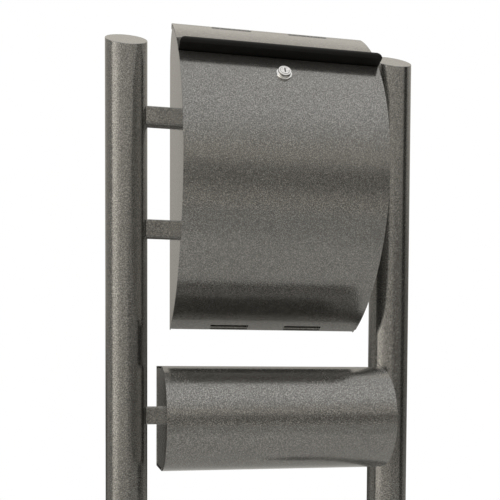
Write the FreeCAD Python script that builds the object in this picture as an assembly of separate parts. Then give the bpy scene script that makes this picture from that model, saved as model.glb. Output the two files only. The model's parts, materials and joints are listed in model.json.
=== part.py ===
"""Free-standing letterbox on two posts, with a newspaper holder below the box.

Frame: millimetres, +Z up, -Y to the front, X across.  The origin is on the ground,
midway between the two posts, in the plane that holds both post axes.
"""
import FreeCAD, Part
import math
import os

V = FreeCAD.Vector

# ---- stand -------------------------------------------------------------------------
POST_D = 60.0              # outer diameter of each round post
POST_WALL = 2.0
POST_HEIGHT = 1200.0       # ground to the highest (rear) point of the slanted top
POST_SLANT = 30.0          # degrees, the top falls to the front
CAP_T = 2.0                # plate that closes the slanted top
CAP_PLUG = 12.0            # depth of the ring that centres the cap in the tube
CAP_PLUG_WALL = 2.0
CAP_CLEAR = 0.3            # gap between that ring and the tube, per side
BASE_D = 140.0             # round foot plate
BASE_T = 8.0
BASE_CHAMFER = 1.5
BOLT_SQUARE = 75.0         # ground bolts at the corners of a square in each foot plate
BOLT_HOLE_D = 11.0
BAR = 25.0                 # side of the square crossbars
BAR_WALL = 1.5

# ---- letterbox ---------------------------------------------------------------------
BOX_W = 278.0
BOX_POST_GAP = 31.0        # clear space between the box and each post
BOX_Z = 768.0              # ground to the box's lower rear corner
BOX_DEPTH = 144.6          # back plane to the foremost point of the curved front
FRONT_R = 239.0            # outer radius of the one arc that makes door and lid
SHEET = 1.5                # side, back and rail sheet
SKIN = 1.5                 # door and lid sheet
SKIN_GAP = 0.6             # between the skins and the edges of the side panels
UPPER_BAR_H = 307.0        # crossbar centres above the box's lower corner
LOWER_BAR_H = 147.0
PANEL_TOP_D = 27.5         # depth of the side panel's upper corner
REAR_BEND_R = 45.0         # forward bend at the top of the back
BACK_FOOT = 1.5            # back panel's lower edge above the panels' corner
SEAM_ANGLE = 37.9          # polar angle on the front where the door ends and the lid begins

# ---- hinges ------------------------------------------------------------------------
KNUCKLE_R = 4.0
PIN_R = 2.5
PIN_CLEAR = 0.05           # radial clearance of the turning knuckles
KNUCKLE_GAP = 0.8          # between neighbouring knuckles
KNUCKLES = 5
LID_AXIS_D = 18.8          # depth of the lid's hinge
NOTCH = 12.5               # length of lid and door cut away beside each fixed knuckle
SADDLE_HALF = 11.0         # degrees of the rear bend that a saddle covers, each way
WEB_T = 3.0
DOOR_PIN_CLEAR = 0.6       # door knuckles to the back panel
DOOR_SIDE_CLEAR = 1.0      # door knuckles and returns to the side panels
DOOR_LEAF_H = 34.0
DOOR_HEEL = 4.0            # length of door cut away over the side panels' lower corners

# ---- door returns ------------------------------------------------------------------
RETURN_T = 1.2
RETURN_DEPTH = 11.0
RETURN_START = 31.0        # from the hinge to the lower end of the side returns

# ---- grip strip --------------------------------------------------------------------
STRIP_SPAN = 32.5          # length of curved front that the strip covers
STRIP_REACH = 16.3         # its front face forward of the seam
STRIP_RISE = 5.5           # climb of its underside from the seam to that face
STRIP_FACE_H = 7.0         # height of the face
STRIP_BROW_R = 5.0         # rounding at the top of the face
STRIP_CHIN_R = 4.0         # rounding at its bottom
STRIP_END_R = 8.0          # rounding of the strip's top at both ends
STRIP_LIP = 3.7            # seam to the lid's lower edge, filled by the strip's lip
STRIP_DOOR_GAP = 1.2       # seam to the door's upper edge

# ---- lock and rail -----------------------------------------------------------------
LOCK_DROP = 32.26          # lock's axis below the seam, along the front
LOCK_FLANGE_D = 22.0
LOCK_FLANGE_T = 1.6
LOCK_DRUM_D = 17.5         # raised drum on the flange
LOCK_DRUM_T = 6.0          # door's outside to the drum's face
LOCK_DRUM_EDGE = 0.8
LOCK_BODY_D = 19.0
LOCK_BODY_L = 19.0
LOCK_NUT_AF = 24.0         # across flats
LOCK_NUT_T = 4.0
PLUG_D = 12.0
PLUG_CLEAR = 0.05
PLUG_PROUD = 0.4
KEY_W = 1.8
KEY_H = 8.0
KEY_DEPTH = 12.0
CAM_T = 2.0
CAM_W = 12.0
CAM_L = 31.0               # axis to tip
TAIL = 7.0                 # square tail of the plug
CAM_CLEAR = 0.3            # cam to the rear of the lock's body
CAM_SCREW_D = 9.0
CAM_SCREW_T = 3.0
RAIL_CAM_GAP = 2.5         # rail's web to the cam
RAIL_LOW = 14.5            # rail's lower edge above the lock's axis
RAIL_HIGH = 34.0
RAIL_LID_GAP = 1.5         # rail's lip to the lid

# ---- newspaper holder --------------------------------------------------------------
HOLDER_POST_GAP = 12.0     # clear space between the holder and each post
HOLDER_R = 72.0            # outer radius of the round front
HOLDER_FLAT = 63.0         # straight part of the top and bottom
HOLDER_DROP = 122.0        # centre below the box's lower corner
HOLDER_SHEET = 1.5
END_GAP = 1.5              # open joint around the end plate
END_INSET = 0.8
TONGUE_W = 9.0

# ---- screws ------------------------------------------------------------------------
SCREW_X = 90.0             # either side of the middle
SCREW_R = 3.0
SCREW_HEAD_R = 6.0
SCREW_HEAD_T = 3.4
SCREW_L = 11.0             # under the head
SCREW_HOLE_CLEAR = 0.3
NUT_R = 4.5
NUT_L = 8.0

# ---- values worked out from those above ---------------------------------------------
BACK_Y = -BAR / 2
POST_R = POST_D / 2
POST_SPACING = BOX_W + 2 * BOX_POST_GAP + POST_D
HOLDER_W = POST_SPACING - POST_D - 2 * HOLDER_POST_GAP
HOLDER_Z = BOX_Z - HOLDER_DROP
HALF_W = BOX_W / 2
FRONT_D = BOX_DEPTH - FRONT_R
FRONT_H = math.sqrt(FRONT_R ** 2 - FRONT_D ** 2)
PANEL_R = FRONT_R - SKIN - SKIN_GAP
HINGE_R = FRONT_R - KNUCKLE_R
CORNER_H = FRONT_H - math.sqrt(PANEL_R ** 2 - FRONT_D ** 2)


def along(length):
    """The angle that a length along the curved front covers."""
    return math.degrees(length / FRONT_R)


def angle_at(radius, depth):
    """The polar angle at which an arc about the front's centre has this depth."""
    return math.degrees(math.acos((depth - FRONT_D) / radius))


PANEL_TOP = angle_at(PANEL_R, PANEL_TOP_D)
LID_AXIS = angle_at(HINGE_R, LID_AXIS_D)
DOOR_AXIS_D = SHEET + DOOR_PIN_CLEAR + KNUCKLE_R
DOOR_AXIS = -angle_at(HINGE_R, DOOR_AXIS_D)
LID_FOOT = SEAM_ANGLE + along(STRIP_LIP)
DOOR_TOP = SEAM_ANGLE - along(STRIP_DOOR_GAP)
LOCK_ANGLE = SEAM_ANGLE - along(LOCK_DROP)


# ---- geometry helpers --------------------------------------------------------------
def at(x, point, base_z=BOX_Z):
    """Place a (depth, height) point; depth runs forward from the back plane."""
    depth, height = point
    return V(x, BACK_Y - depth, base_z + height)


def polar(radius, degrees):
    """A (depth, height) point about the centre of the curved front."""
    a = math.radians(degrees)
    return (FRONT_D + radius * math.cos(a), FRONT_H + radius * math.sin(a))


def circle_point(centre, radius, degrees):
    a = math.radians(degrees)
    return (centre[0] + radius * math.cos(a), centre[1] + radius * math.sin(a))


def line(x, a, b, base_z=BOX_Z):
    return Part.LineSegment(at(x, a, base_z), at(x, b, base_z)).toShape()


def arc(x, a, middle, b, base_z=BOX_Z):
    return Part.Arc(at(x, a, base_z), at(x, middle, base_z), at(x, b, base_z)).toShape()


def extrude(edges, x0, x1):
    """Extrude a closed outline that lies in the plane at x0 along X."""
    face = Part.Face(Part.Wire(edges))
    return face.extrude(V(x1 - x0, 0, 0))


def prism(points, x0, x1, base_z=BOX_Z):
    pairs = zip(points, points[1:] + points[:1])
    return extrude([line(x0, a, b, base_z) for a, b in pairs], x0, x1)


def band(r_in, r_out, a0, a1, x0, x1):
    """A curved sheet that follows the front's arc between two polar angles."""
    mid = (a0 + a1) / 2
    edges = [
        arc(x0, polar(r_out, a0), polar(r_out, mid), polar(r_out, a1)),
        line(x0, polar(r_out, a1), polar(r_in, a1)),
        arc(x0, polar(r_in, a1), polar(r_in, mid), polar(r_in, a0)),
        line(x0, polar(r_in, a0), polar(r_out, a0)),
    ]
    return extrude(edges, x0, x1)


def rod(radius, x0, x1, point, base_z=BOX_Z):
    """A cylinder along X."""
    return Part.makeCylinder(radius, x1 - x0, at(x0, point, base_z), V(1, 0, 0))


def rod_y(radius, length, x, depth, z):
    """A cylinder that runs to the rear from a depth in front of the back plane."""
    return Part.makeCylinder(radius, length, V(x, BACK_Y - depth, z), V(0, 1, 0))


def knuckle_spans(half_width):
    """The X ranges of the knuckles along a hinge, ends first."""
    pitch = 2 * half_width / KNUCKLES
    spans = []
    for i in range(KNUCKLES):
        low = -half_width + i * pitch + (KNUCKLE_GAP / 2 if i > 0 else 0)
        high = -half_width + (i + 1) * pitch - (KNUCKLE_GAP / 2 if i < KNUCKLES - 1 else 0)
        spans.append((low, high))
    return spans


# ---- stand -------------------------------------------------------------------------
def above_slant(x, drop):
    """Everything above the slanted plane, lowered square to itself by drop."""
    block = Part.makeBox(4 * POST_D, 4 * POST_D, POST_HEIGHT, V(-2 * POST_D, -3 * POST_D, 0))
    tilt = FreeCAD.Rotation(V(1, 0, 0), POST_SLANT)
    lowered = POST_HEIGHT - drop / math.cos(math.radians(POST_SLANT))
    block.Placement = FreeCAD.Placement(V(x, POST_R, lowered), tilt)
    return block


def column(radius, x, low):
    return Part.makeCylinder(radius, POST_HEIGHT + POST_D - low, V(x, 0, low))


def post(x):
    tube = column(POST_R, x, BASE_T).cut(column(POST_R - POST_WALL, x, BASE_T))
    return tube.cut(above_slant(x, CAP_T))


def post_cap(x):
    low = POST_HEIGHT / 2
    plate = column(POST_R, x, low).cut(above_slant(x, 0))
    plate = plate.common(above_slant(x, CAP_T))
    plug_r = POST_R - POST_WALL - CAP_CLEAR
    plug = column(plug_r, x, low).cut(column(plug_r - CAP_PLUG_WALL, x, low))
    plug = plug.cut(above_slant(x, CAP_T)).common(above_slant(x, CAP_T + CAP_PLUG))
    return plate.fuse(plug).removeSplitter()


def base_plate(x):
    plate = Part.makeCylinder(BASE_D / 2, BASE_T, V(x, 0, 0))
    rim = [e for e in plate.Edges if e.isClosed() and abs(e.CenterOfMass.z - BASE_T) < 0.01]
    plate = plate.makeChamfer(BASE_CHAMFER, rim)
    for across in (-BOLT_SQUARE / 2, BOLT_SQUARE / 2):
        for along in (-BOLT_SQUARE / 2, BOLT_SQUARE / 2):
            plate = plate.cut(Part.makeCylinder(BOLT_HOLE_D / 2, BASE_T, V(x + across, along, 0)))
    return plate


def crossbar(z):
    """A square tube whose ends are coped to the round posts."""
    length = POST_SPACING
    outer = Part.makeBox(length, BAR, BAR, V(-length / 2, -BAR / 2, z - BAR / 2))
    bore = BAR - 2 * BAR_WALL
    inner = Part.makeBox(length, bore, bore, V(-length / 2, -bore / 2, z - bore / 2))
    bar = outer.cut(inner)
    for side in (-1, 1):
        bar = bar.cut(column(POST_R, side * POST_SPACING / 2, BASE_T))
        bar = bar.cut(rod_y(NUT_R, NUT_L, side * SCREW_X, 0, z))
    return bar


# ---- screws ------------------------------------------------------------------------
def screw(x, z):
    head = rod_y(SCREW_HEAD_R, SCREW_HEAD_T, x, SHEET + SCREW_HEAD_T, z)
    front = [e for e in head.Edges
             if e.isClosed() and e.CenterOfMass.y < BACK_Y - SHEET - SCREW_HEAD_T / 2]
    head = head.makeFillet(SCREW_HEAD_T / 2, front)
    return head.fuse(rod_y(SCREW_R, SCREW_L, x, SHEET, z)).removeSplitter()


def rivet_nut(x, z):
    return rod_y(NUT_R, NUT_L, x, 0, z).cut(rod_y(SCREW_R, NUT_L, x, 0, z))


def pairs_of(maker, heights):
    """One group that holds a left and a right copy at every height."""
    return Part.makeCompound([maker(side * SCREW_X, z) for z in heights for side in (-1, 1)])


def with_screw_holes(panel, heights):
    for z in heights:
        for side in (-1, 1):
            hole = rod_y(SCREW_R + SCREW_HOLE_CLEAR, 2 * SHEET, side * SCREW_X, 1.5 * SHEET, z)
            panel = panel.cut(hole)
    return panel


# ---- fixed part of the box -----------------------------------------------------------
def rear_bend():
    """Centre of the rear bend and its sweep up to the side panel's top corner."""
    corner = polar(PANEL_R, PANEL_TOP)
    sweep = math.degrees(math.acos(1 - corner[0] / REAR_BEND_R))
    centre = (REAR_BEND_R, corner[1] - REAR_BEND_R * math.sin(math.radians(sweep)))
    return centre, sweep


def side_panel(side):
    centre, sweep = rear_bend()
    x0 = side * HALF_W
    corner = (0, CORNER_H)
    top = polar(PANEL_R, PANEL_TOP)
    edges = [
        line(x0, corner, (0, centre[1])),
        arc(x0, (0, centre[1]), circle_point(centre, REAR_BEND_R, 180 - sweep / 2), top),
        arc(x0, top, polar(PANEL_R, 0), corner),
    ]
    return extrude(edges, x0, x0 - side * SHEET)


def back_panel():
    centre, sweep = rear_bend()
    half = HALF_W - SHEET
    low = CORNER_H + BACK_FOOT
    end = 180 - sweep + 4
    mid = (180 + end) / 2
    inner_r = REAR_BEND_R - SHEET
    edges = [
        line(-half, (0, low), (0, centre[1])),
        arc(-half, (0, centre[1]), circle_point(centre, REAR_BEND_R, mid),
            circle_point(centre, REAR_BEND_R, end)),
        line(-half, circle_point(centre, REAR_BEND_R, end), circle_point(centre, inner_r, end)),
        arc(-half, circle_point(centre, inner_r, end), circle_point(centre, inner_r, mid),
            (SHEET, centre[1])),
        line(-half, (SHEET, centre[1]), (SHEET, low)),
        line(-half, (SHEET, low), (0, low)),
    ]
    return with_screw_holes(extrude(edges, -half, half), [BOX_Z + UPPER_BAR_H, BOX_Z + LOWER_BAR_H])


def lock_point(forward, up):
    """A (depth, height) point in the lock's own directions, from the door's outside."""
    base = polar(FRONT_R + forward, LOCK_ANGLE)
    a = math.radians(LOCK_ANGLE)
    return (base[0] - up * math.sin(a), base[1] + up * math.cos(a))


CAM_FRONT = -(LOCK_BODY_L + CAM_CLEAR)
CAM_BACK = CAM_FRONT - CAM_T
RAIL_WEB = CAM_FRONT + RAIL_CAM_GAP


def front_rail():
    """Angle between the side panels: the cam locks behind its web, the lid rests over it."""
    half = HALF_W - SHEET
    lip_r = FRONT_R - SKIN - RAIL_LID_GAP
    lip = math.sqrt(lip_r ** 2 - RAIL_HIGH ** 2) - FRONT_R
    outline = [(RAIL_WEB, RAIL_LOW), (RAIL_WEB + SHEET, RAIL_LOW),
               (RAIL_WEB + SHEET, RAIL_HIGH - SHEET), (lip, RAIL_HIGH - SHEET),
               (lip, RAIL_HIGH), (RAIL_WEB, RAIL_HIGH)]
    return prism([lock_point(*p) for p in outline], -half, half)


# ---- hinges ------------------------------------------------------------------------
def lid_axis():
    return polar(HINGE_R, LID_AXIS)


def door_axis():
    return polar(HINGE_R, DOOR_AXIS)


def lid_bracket(span):
    """A fixed knuckle on a saddle that follows the back panel's bend."""
    x0, x1 = span
    centre, _ = rear_bend()
    axis = lid_axis()
    away = math.atan2(axis[1] - centre[1], axis[0] - centre[0])
    mid = math.degrees(away)
    low = mid + SADDLE_HALF
    high = mid - SADDLE_HALF
    outer = REAR_BEND_R + SHEET
    edges = [
        arc(x0, circle_point(centre, outer, low), circle_point(centre, outer, mid),
            circle_point(centre, outer, high)),
        line(x0, circle_point(centre, outer, high), circle_point(centre, REAR_BEND_R, high)),
        arc(x0, circle_point(centre, REAR_BEND_R, high), circle_point(centre, REAR_BEND_R, mid),
            circle_point(centre, REAR_BEND_R, low)),
        line(x0, circle_point(centre, REAR_BEND_R, low), circle_point(centre, outer, low)),
    ]
    saddle = extrude(edges, x0, x1)
    reach = math.hypot(axis[0] - centre[0], axis[1] - centre[1])
    across = (-math.sin(away) * WEB_T / 2, math.cos(away) * WEB_T / 2)

    def on_web(radius, sign):
        return (centre[0] + radius * math.cos(away) + sign * across[0],
                centre[1] + radius * math.sin(away) + sign * across[1])

    foot = REAR_BEND_R + SHEET / 2
    web = prism([on_web(foot, -1), on_web(reach, -1), on_web(reach, 1), on_web(foot, 1)], x0, x1)
    body = saddle.fuse([web, rod(KNUCKLE_R, x0, x1, axis)])
    return body.cut(rod(PIN_R, x0, x1, axis)).removeSplitter()


def door_bracket(span):
    """A fixed knuckle on a leaf that lies against the inside of the back panel."""
    x0, x1 = span
    axis = door_axis()
    leaf = prism([(SHEET, axis[1]), (2 * SHEET, axis[1]),
                  (2 * SHEET, axis[1] + DOOR_LEAF_H), (SHEET, axis[1] + DOOR_LEAF_H)], x0, x1)
    body = leaf.fuse(rod(KNUCKLE_R, x0, x1, axis))
    return body.cut(rod(PIN_R, x0, x1, axis)).removeSplitter()


def door_half():
    return HALF_W - SHEET - DOOR_SIDE_CLEAR


def brackets(maker, half_width):
    return Part.makeCompound([maker(span) for span in knuckle_spans(half_width)[1::2]])


def hinge_pin(axis, half_width):
    return rod(PIN_R, -half_width, half_width, axis)


# ---- lid ---------------------------------------------------------------------------
def lid_sheet():
    axis = lid_axis()
    sheet = band(FRONT_R - SKIN, FRONT_R, LID_FOOT, LID_AXIS, -HALF_W, HALF_W)
    for i, (x0, x1) in enumerate(knuckle_spans(HALF_W)):
        if i % 2:
            notch = band(FRONT_R - 2 * SKIN, FRONT_R + SKIN, LID_AXIS - along(NOTCH),
                         LID_AXIS + along(SKIN), x0 - KNUCKLE_GAP, x1 + KNUCKLE_GAP)
            sheet = sheet.cut(notch)
        else:
            sheet = sheet.fuse(rod(KNUCKLE_R, x0, x1, axis))
    return sheet.cut(rod(PIN_R + PIN_CLEAR, -HALF_W, HALF_W, axis)).removeSplitter()


def grip_strip():
    """Eave along the lid's lower edge, gripping the sheet's edge with a small lip."""
    root = FRONT_R - SKIN
    head_angle = SEAM_ANGLE + along(STRIP_SPAN)
    head = polar(FRONT_R, head_angle)
    foot = polar(FRONT_R, SEAM_ANGLE)
    chin = (foot[0] + STRIP_REACH, foot[1] + STRIP_RISE)
    brow = (chin[0], chin[1] + STRIP_FACE_H)
    outline = [
        line(-HALF_W, head, brow),
        line(-HALF_W, brow, chin),
        line(-HALF_W, chin, foot),
        line(-HALF_W, foot, polar(root, SEAM_ANGLE)),
        arc(-HALF_W, polar(root, SEAM_ANGLE), polar(root, (SEAM_ANGLE + head_angle) / 2),
            polar(root, head_angle)),
        line(-HALF_W, polar(root, head_angle), head),
    ]
    strip = extrude(outline, -HALF_W, HALF_W)
    for corner, radius in ((brow, STRIP_BROW_R), (chin, STRIP_CHIN_R)):
        edge = [e for e in strip.Edges if (e.CenterOfMass - at(0, corner)).Length < 0.01]
        strip = strip.makeFillet(radius, edge)
    return strip.common(rounded_top(head, brow)).cut(lid_sheet())


def rounded_top(head, brow):
    """A block whose top is the strip's top surface, rounded along both of its ends."""
    length = math.hypot(brow[0] - head[0], brow[1] - head[1])
    out = ((brow[0] - head[0]) / length, (brow[1] - head[1]) / length)
    rear = (head[0] - length * out[0], head[1] - length * out[1])
    front = (brow[0] + length * out[0], brow[1] + length * out[1])
    down = (length * out[1], -length * out[0])
    block = prism([rear, front, (front[0] + down[0], front[1] + down[1]),
                   (rear[0] + down[0], rear[1] + down[1])], -HALF_W, HALF_W)
    middle = at(0, ((rear[0] + front[0]) / 2, (rear[1] + front[1]) / 2))
    ends = [e for e in block.Edges
            if abs((e.CenterOfMass - middle).Length - HALF_W) < 0.01
            and abs(e.CenterOfMass.z - middle.z) < 0.01]
    return block.makeFillet(STRIP_END_R, ends)


# ---- door --------------------------------------------------------------------------
def door_skin():
    """Curved sheet with rolled knuckles below and narrow returns at its other edges."""
    inner = FRONT_R - SKIN
    axis = door_axis()
    half = door_half()
    heel = DOOR_AXIS + along(DOOR_HEEL)
    skin = band(inner, FRONT_R, heel, DOOR_TOP, -HALF_W, HALF_W)
    skin = skin.fuse(band(inner, FRONT_R, DOOR_AXIS, heel, -half, half))
    for i, (x0, x1) in enumerate(knuckle_spans(half)):
        if i % 2:
            notch = band(inner - SKIN, FRONT_R + SKIN, DOOR_AXIS - along(SKIN),
                         DOOR_AXIS + along(NOTCH), x0 - KNUCKLE_GAP, x1 + KNUCKLE_GAP)
            skin = skin.cut(notch)
        else:
            skin = skin.fuse(rod(KNUCKLE_R, x0, x1, axis))
    deep = inner - RETURN_DEPTH
    for side in (-1, 1):
        x0, x1 = sorted((side * half, side * (half - RETURN_T)))
        low = DOOR_AXIS + along(RETURN_START)
        skin = skin.fuse(band(deep, inner + SKIN / 2, low, DOOR_TOP, x0, x1))
    low = DOOR_TOP - along(RETURN_T)
    skin = skin.fuse(band(deep, inner + SKIN / 2, low, DOOR_TOP, -half, half))
    skin = skin.cut(rod(PIN_R + PIN_CLEAR, -HALF_W, HALF_W, axis))
    hole = lock_rod(LOCK_BODY_D / 2, -2 * SKIN, 2 * SKIN)
    return skin.cut(hole).removeSplitter()


# ---- lock --------------------------------------------------------------------------
def lock_direction():
    a = math.radians(LOCK_ANGLE)
    return V(0, -math.cos(a), math.sin(a))


def lock_rod(radius, start, end):
    """A cylinder on the lock's axis between two distances from the door's outside."""
    return Part.makeCylinder(radius, end - start, at(0, lock_point(start, 0)), lock_direction())


def lock_block(half_x, start, end, low, high, x_mid=0.0):
    """A block square to the lock's axis."""
    outline = [(start, low), (end, low), (end, high), (start, high)]
    return prism([lock_point(*p) for p in outline], x_mid - half_x, x_mid + half_x)


def lock_housing():
    """Flange with a raised drum and a threaded body, seated on the curved door."""
    flange = lock_rod(LOCK_FLANGE_D / 2, -SKIN / 2, LOCK_FLANGE_T)
    door_solid = rod(FRONT_R, -LOCK_FLANGE_D, LOCK_FLANGE_D, (FRONT_D, FRONT_H))
    face = at(0, lock_point(LOCK_DRUM_T, 0))
    drum = lock_rod(LOCK_DRUM_D / 2, LOCK_FLANGE_T / 2, LOCK_DRUM_T)
    rim = [e for e in drum.Edges if e.isClosed() and (e.CenterOfMass - face).Length < 0.01]
    drum = drum.makeChamfer(LOCK_DRUM_EDGE, rim)
    body = lock_rod(LOCK_BODY_D / 2, -LOCK_BODY_L, SKIN)
    housing = flange.cut(door_solid).fuse([drum, body])
    return housing.cut(lock_rod(PLUG_D / 2 + PLUG_CLEAR, -LOCK_BODY_L, LOCK_DRUM_T)).removeSplitter()


def lock_nut():
    """Hexagonal nut whose flats touch the hollow inside of the door."""
    inner = FRONT_R - SKIN
    seat = inner - math.sqrt(inner ** 2 - (LOCK_NUT_AF / 2) ** 2)
    start = -(SKIN + seat + LOCK_NUT_T)
    corner_r = LOCK_NUT_AF / 2 / math.cos(math.radians(30))
    corners = []
    for i in range(6):
        turn = math.radians(60 * i)
        where = lock_point(start, corner_r * math.sin(turn))
        corners.append(at(corner_r * math.cos(turn), where))
    face = Part.Face(Part.makePolygon(corners + corners[:1]))
    nut = face.extrude(lock_direction() * LOCK_NUT_T)
    return nut.cut(lock_rod(LOCK_BODY_D / 2, start, start + LOCK_NUT_T))


def lock_plug():
    """Turning core with its keyhole and the square tail that carries the cam."""
    front = LOCK_DRUM_T + PLUG_PROUD
    core = lock_rod(PLUG_D / 2, CAM_FRONT, front)
    tail = lock_block(TAIL / 2, CAM_BACK, CAM_FRONT, -TAIL / 2, TAIL / 2)
    key = lock_block(KEY_W / 2, front - KEY_DEPTH, front, -KEY_H / 2, KEY_H / 2)
    return core.fuse(tail).cut(key).removeSplitter()


def lock_cam():
    """Flat tongue, pointing to +X when the door is unlocked."""
    half = (CAM_L - CAM_W / 2) / 2
    arm = lock_block(half, CAM_BACK, CAM_FRONT, -CAM_W / 2, CAM_W / 2, half)
    hub = lock_rod(CAM_W / 2, CAM_BACK, CAM_FRONT)
    tip = hub.copy()
    tip.translate(V(2 * half, 0, 0))
    hole = lock_block(TAIL / 2, CAM_BACK, CAM_FRONT, -TAIL / 2, TAIL / 2)
    return arm.fuse([hub, tip]).cut(hole).removeSplitter()


def cam_screw():
    head = lock_rod(CAM_SCREW_D / 2, CAM_BACK - CAM_SCREW_T, CAM_BACK)
    rear = at(0, lock_point(CAM_BACK - CAM_SCREW_T, 0))
    rim = [e for e in head.Edges if e.isClosed() and (e.CenterOfMass - rear).Length < 0.01]
    return head.makeFillet(CAM_SCREW_T / 3, rim)


# ---- newspaper holder --------------------------------------------------------------
def holder_solid(inset, x0, x1, back=0.0):
    """A solid of the D-shaped section, set in from the outside."""
    r = HOLDER_R - inset
    edges = [
        line(x0, (back, r), (HOLDER_FLAT, r), HOLDER_Z),
        arc(x0, (HOLDER_FLAT, r), (HOLDER_FLAT + r, 0), (HOLDER_FLAT, -r), HOLDER_Z),
        line(x0, (HOLDER_FLAT, -r), (back, -r), HOLDER_Z),
        line(x0, (back, -r), (back, r), HOLDER_Z),
    ]
    return extrude(edges, x0, x1)


def holder_shell():
    half = HOLDER_W / 2
    return holder_solid(0, -half, half).cut(holder_solid(HOLDER_SHEET, -half, half))


def holder_back():
    half = HOLDER_W / 2
    r = HOLDER_R - HOLDER_SHEET
    panel = prism([(0, -r), (HOLDER_SHEET, -r), (HOLDER_SHEET, r), (0, r)], -half, half, HOLDER_Z)
    return with_screw_holes(panel, [HOLDER_Z])


def holder_end_plate():
    """Plate in the left end, held by three tongues across an open joint."""
    x0 = -HOLDER_W / 2 + END_INSET
    x1 = x0 + HOLDER_SHEET
    plate = holder_solid(HOLDER_SHEET + END_GAP, x0, x1, HOLDER_SHEET)
    inner_r = HOLDER_R - HOLDER_SHEET
    half = TONGUE_W / 2
    front = HOLDER_FLAT + inner_r
    bars = [
        [(HOLDER_FLAT - half, -inner_r), (HOLDER_FLAT + half, -inner_r),
         (HOLDER_FLAT + half, inner_r), (HOLDER_FLAT - half, inner_r)],
        [(HOLDER_FLAT, -half), (front, -half), (front, half), (HOLDER_FLAT, half)],
    ]
    for points in bars:
        plate = plate.fuse(prism(points, x0, x1, HOLDER_Z))
    return plate.common(holder_solid(HOLDER_SHEET, x0, x1)).removeSplitter()


# ---- the whole object ----------------------------------------------------------------
def build():
    box_bars = [BOX_Z + UPPER_BAR_H, BOX_Z + LOWER_BAR_H]
    parts = {}
    for name, side in (("left", -1), ("right", 1)):
        x = side * POST_SPACING / 2
        parts[name + "_post"] = post(x)
        parts[name + "_post_cap"] = post_cap(x)
        parts[name + "_base_plate"] = base_plate(x)
        parts[name + "_side_panel"] = side_panel(side)
    parts["upper_crossbar"] = crossbar(box_bars[0])
    parts["lower_crossbar"] = crossbar(box_bars[1])
    parts["holder_crossbar"] = crossbar(HOLDER_Z)
    parts["back_panel"] = back_panel()
    parts["front_rail"] = front_rail()
    parts["box_screws"] = pairs_of(screw, box_bars)
    parts["box_rivet_nuts"] = pairs_of(rivet_nut, box_bars)
    parts["lid_hinge_brackets"] = brackets(lid_bracket, HALF_W)
    parts["lid_hinge_pin"] = hinge_pin(lid_axis(), HALF_W)
    parts["door_hinge_brackets"] = brackets(door_bracket, door_half())
    parts["door_hinge_pin"] = hinge_pin(door_axis(), HALF_W - SHEET)
    parts["lid_sheet"] = lid_sheet()
    parts["grip_strip"] = grip_strip()
    parts["door_skin"] = door_skin()
    parts["lock_housing"] = lock_housing()
    parts["lock_nut"] = lock_nut()
    parts["lock_plug"] = lock_plug()
    parts["lock_cam"] = lock_cam()
    parts["cam_screw"] = cam_screw()
    parts["holder_shell"] = holder_shell()
    parts["holder_back"] = holder_back()
    parts["holder_end_plate"] = holder_end_plate()
    parts["holder_screws"] = pairs_of(screw, [HOLDER_Z])
    parts["holder_rivet_nuts"] = pairs_of(rivet_nut, [HOLDER_Z])
    return parts


os.makedirs("parts", exist_ok=True)
for name, shape in build().items():
    shape.exportStep("parts/" + name + ".step")
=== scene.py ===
"""Looks of a free-standing letterbox on two round posts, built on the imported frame.

Metres, +Z up, -Y to the front, X across from post to post; the ground is z = 0.
"""

import json
import logging
import math
from dataclasses import dataclass, field
from enum import Enum
from typing import Any, Sequence

import bmesh
import bpy
from mathutils import Matrix, Vector


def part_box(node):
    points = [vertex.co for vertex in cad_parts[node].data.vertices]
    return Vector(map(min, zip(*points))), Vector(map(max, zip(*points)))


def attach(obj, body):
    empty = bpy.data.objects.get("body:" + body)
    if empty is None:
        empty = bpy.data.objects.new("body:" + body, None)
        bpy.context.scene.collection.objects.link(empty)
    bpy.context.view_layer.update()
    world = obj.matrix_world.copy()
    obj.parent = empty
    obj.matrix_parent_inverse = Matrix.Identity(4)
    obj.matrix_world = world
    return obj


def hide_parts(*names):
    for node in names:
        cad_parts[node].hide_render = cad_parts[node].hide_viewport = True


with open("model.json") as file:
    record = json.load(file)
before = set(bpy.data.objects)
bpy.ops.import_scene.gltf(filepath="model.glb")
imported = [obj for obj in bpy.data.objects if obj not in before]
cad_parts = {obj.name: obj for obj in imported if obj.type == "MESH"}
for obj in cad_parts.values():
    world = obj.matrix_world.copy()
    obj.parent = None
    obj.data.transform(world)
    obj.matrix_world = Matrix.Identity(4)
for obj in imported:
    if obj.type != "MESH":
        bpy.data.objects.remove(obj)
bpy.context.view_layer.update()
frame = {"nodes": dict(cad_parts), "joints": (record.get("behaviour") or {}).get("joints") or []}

LOG = logging.getLogger("letterbox")
ACROSS = Vector((1.0, 0.0, 0.0))
UP = Vector((0.0, 0.0, 1.0))
FRONT = Vector((0.0, -1.0, 0.0))
MERGE = 1e-6          # vertices nearer than this are one
SAME = 1e-5           # looser test, for ends of arcs that meet

Colour = tuple[float, float, float]
Span = tuple[float, float]
Corner = bmesh.types.BMVert
Edge = bmesh.types.BMEdge
Element = bmesh.types.BMVert | bmesh.types.BMEdge | bmesh.types.BMFace
Socket = bpy.types.NodeSocket


class Slot(Enum):
    """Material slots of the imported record."""

    PAINT = "hammered_paint"
    PLASTIC = "black_plastic"
    CHROME = "chrome"
    ZINC = "zinc_steel"


class Body(Enum):
    """Bodies that pieces ride on."""

    STAND = "stand"
    LID = "lid"
    DOOR = "door"
    LOCK = "lock"


# ---- shader tools --------------------------------------------------------------------


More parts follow.
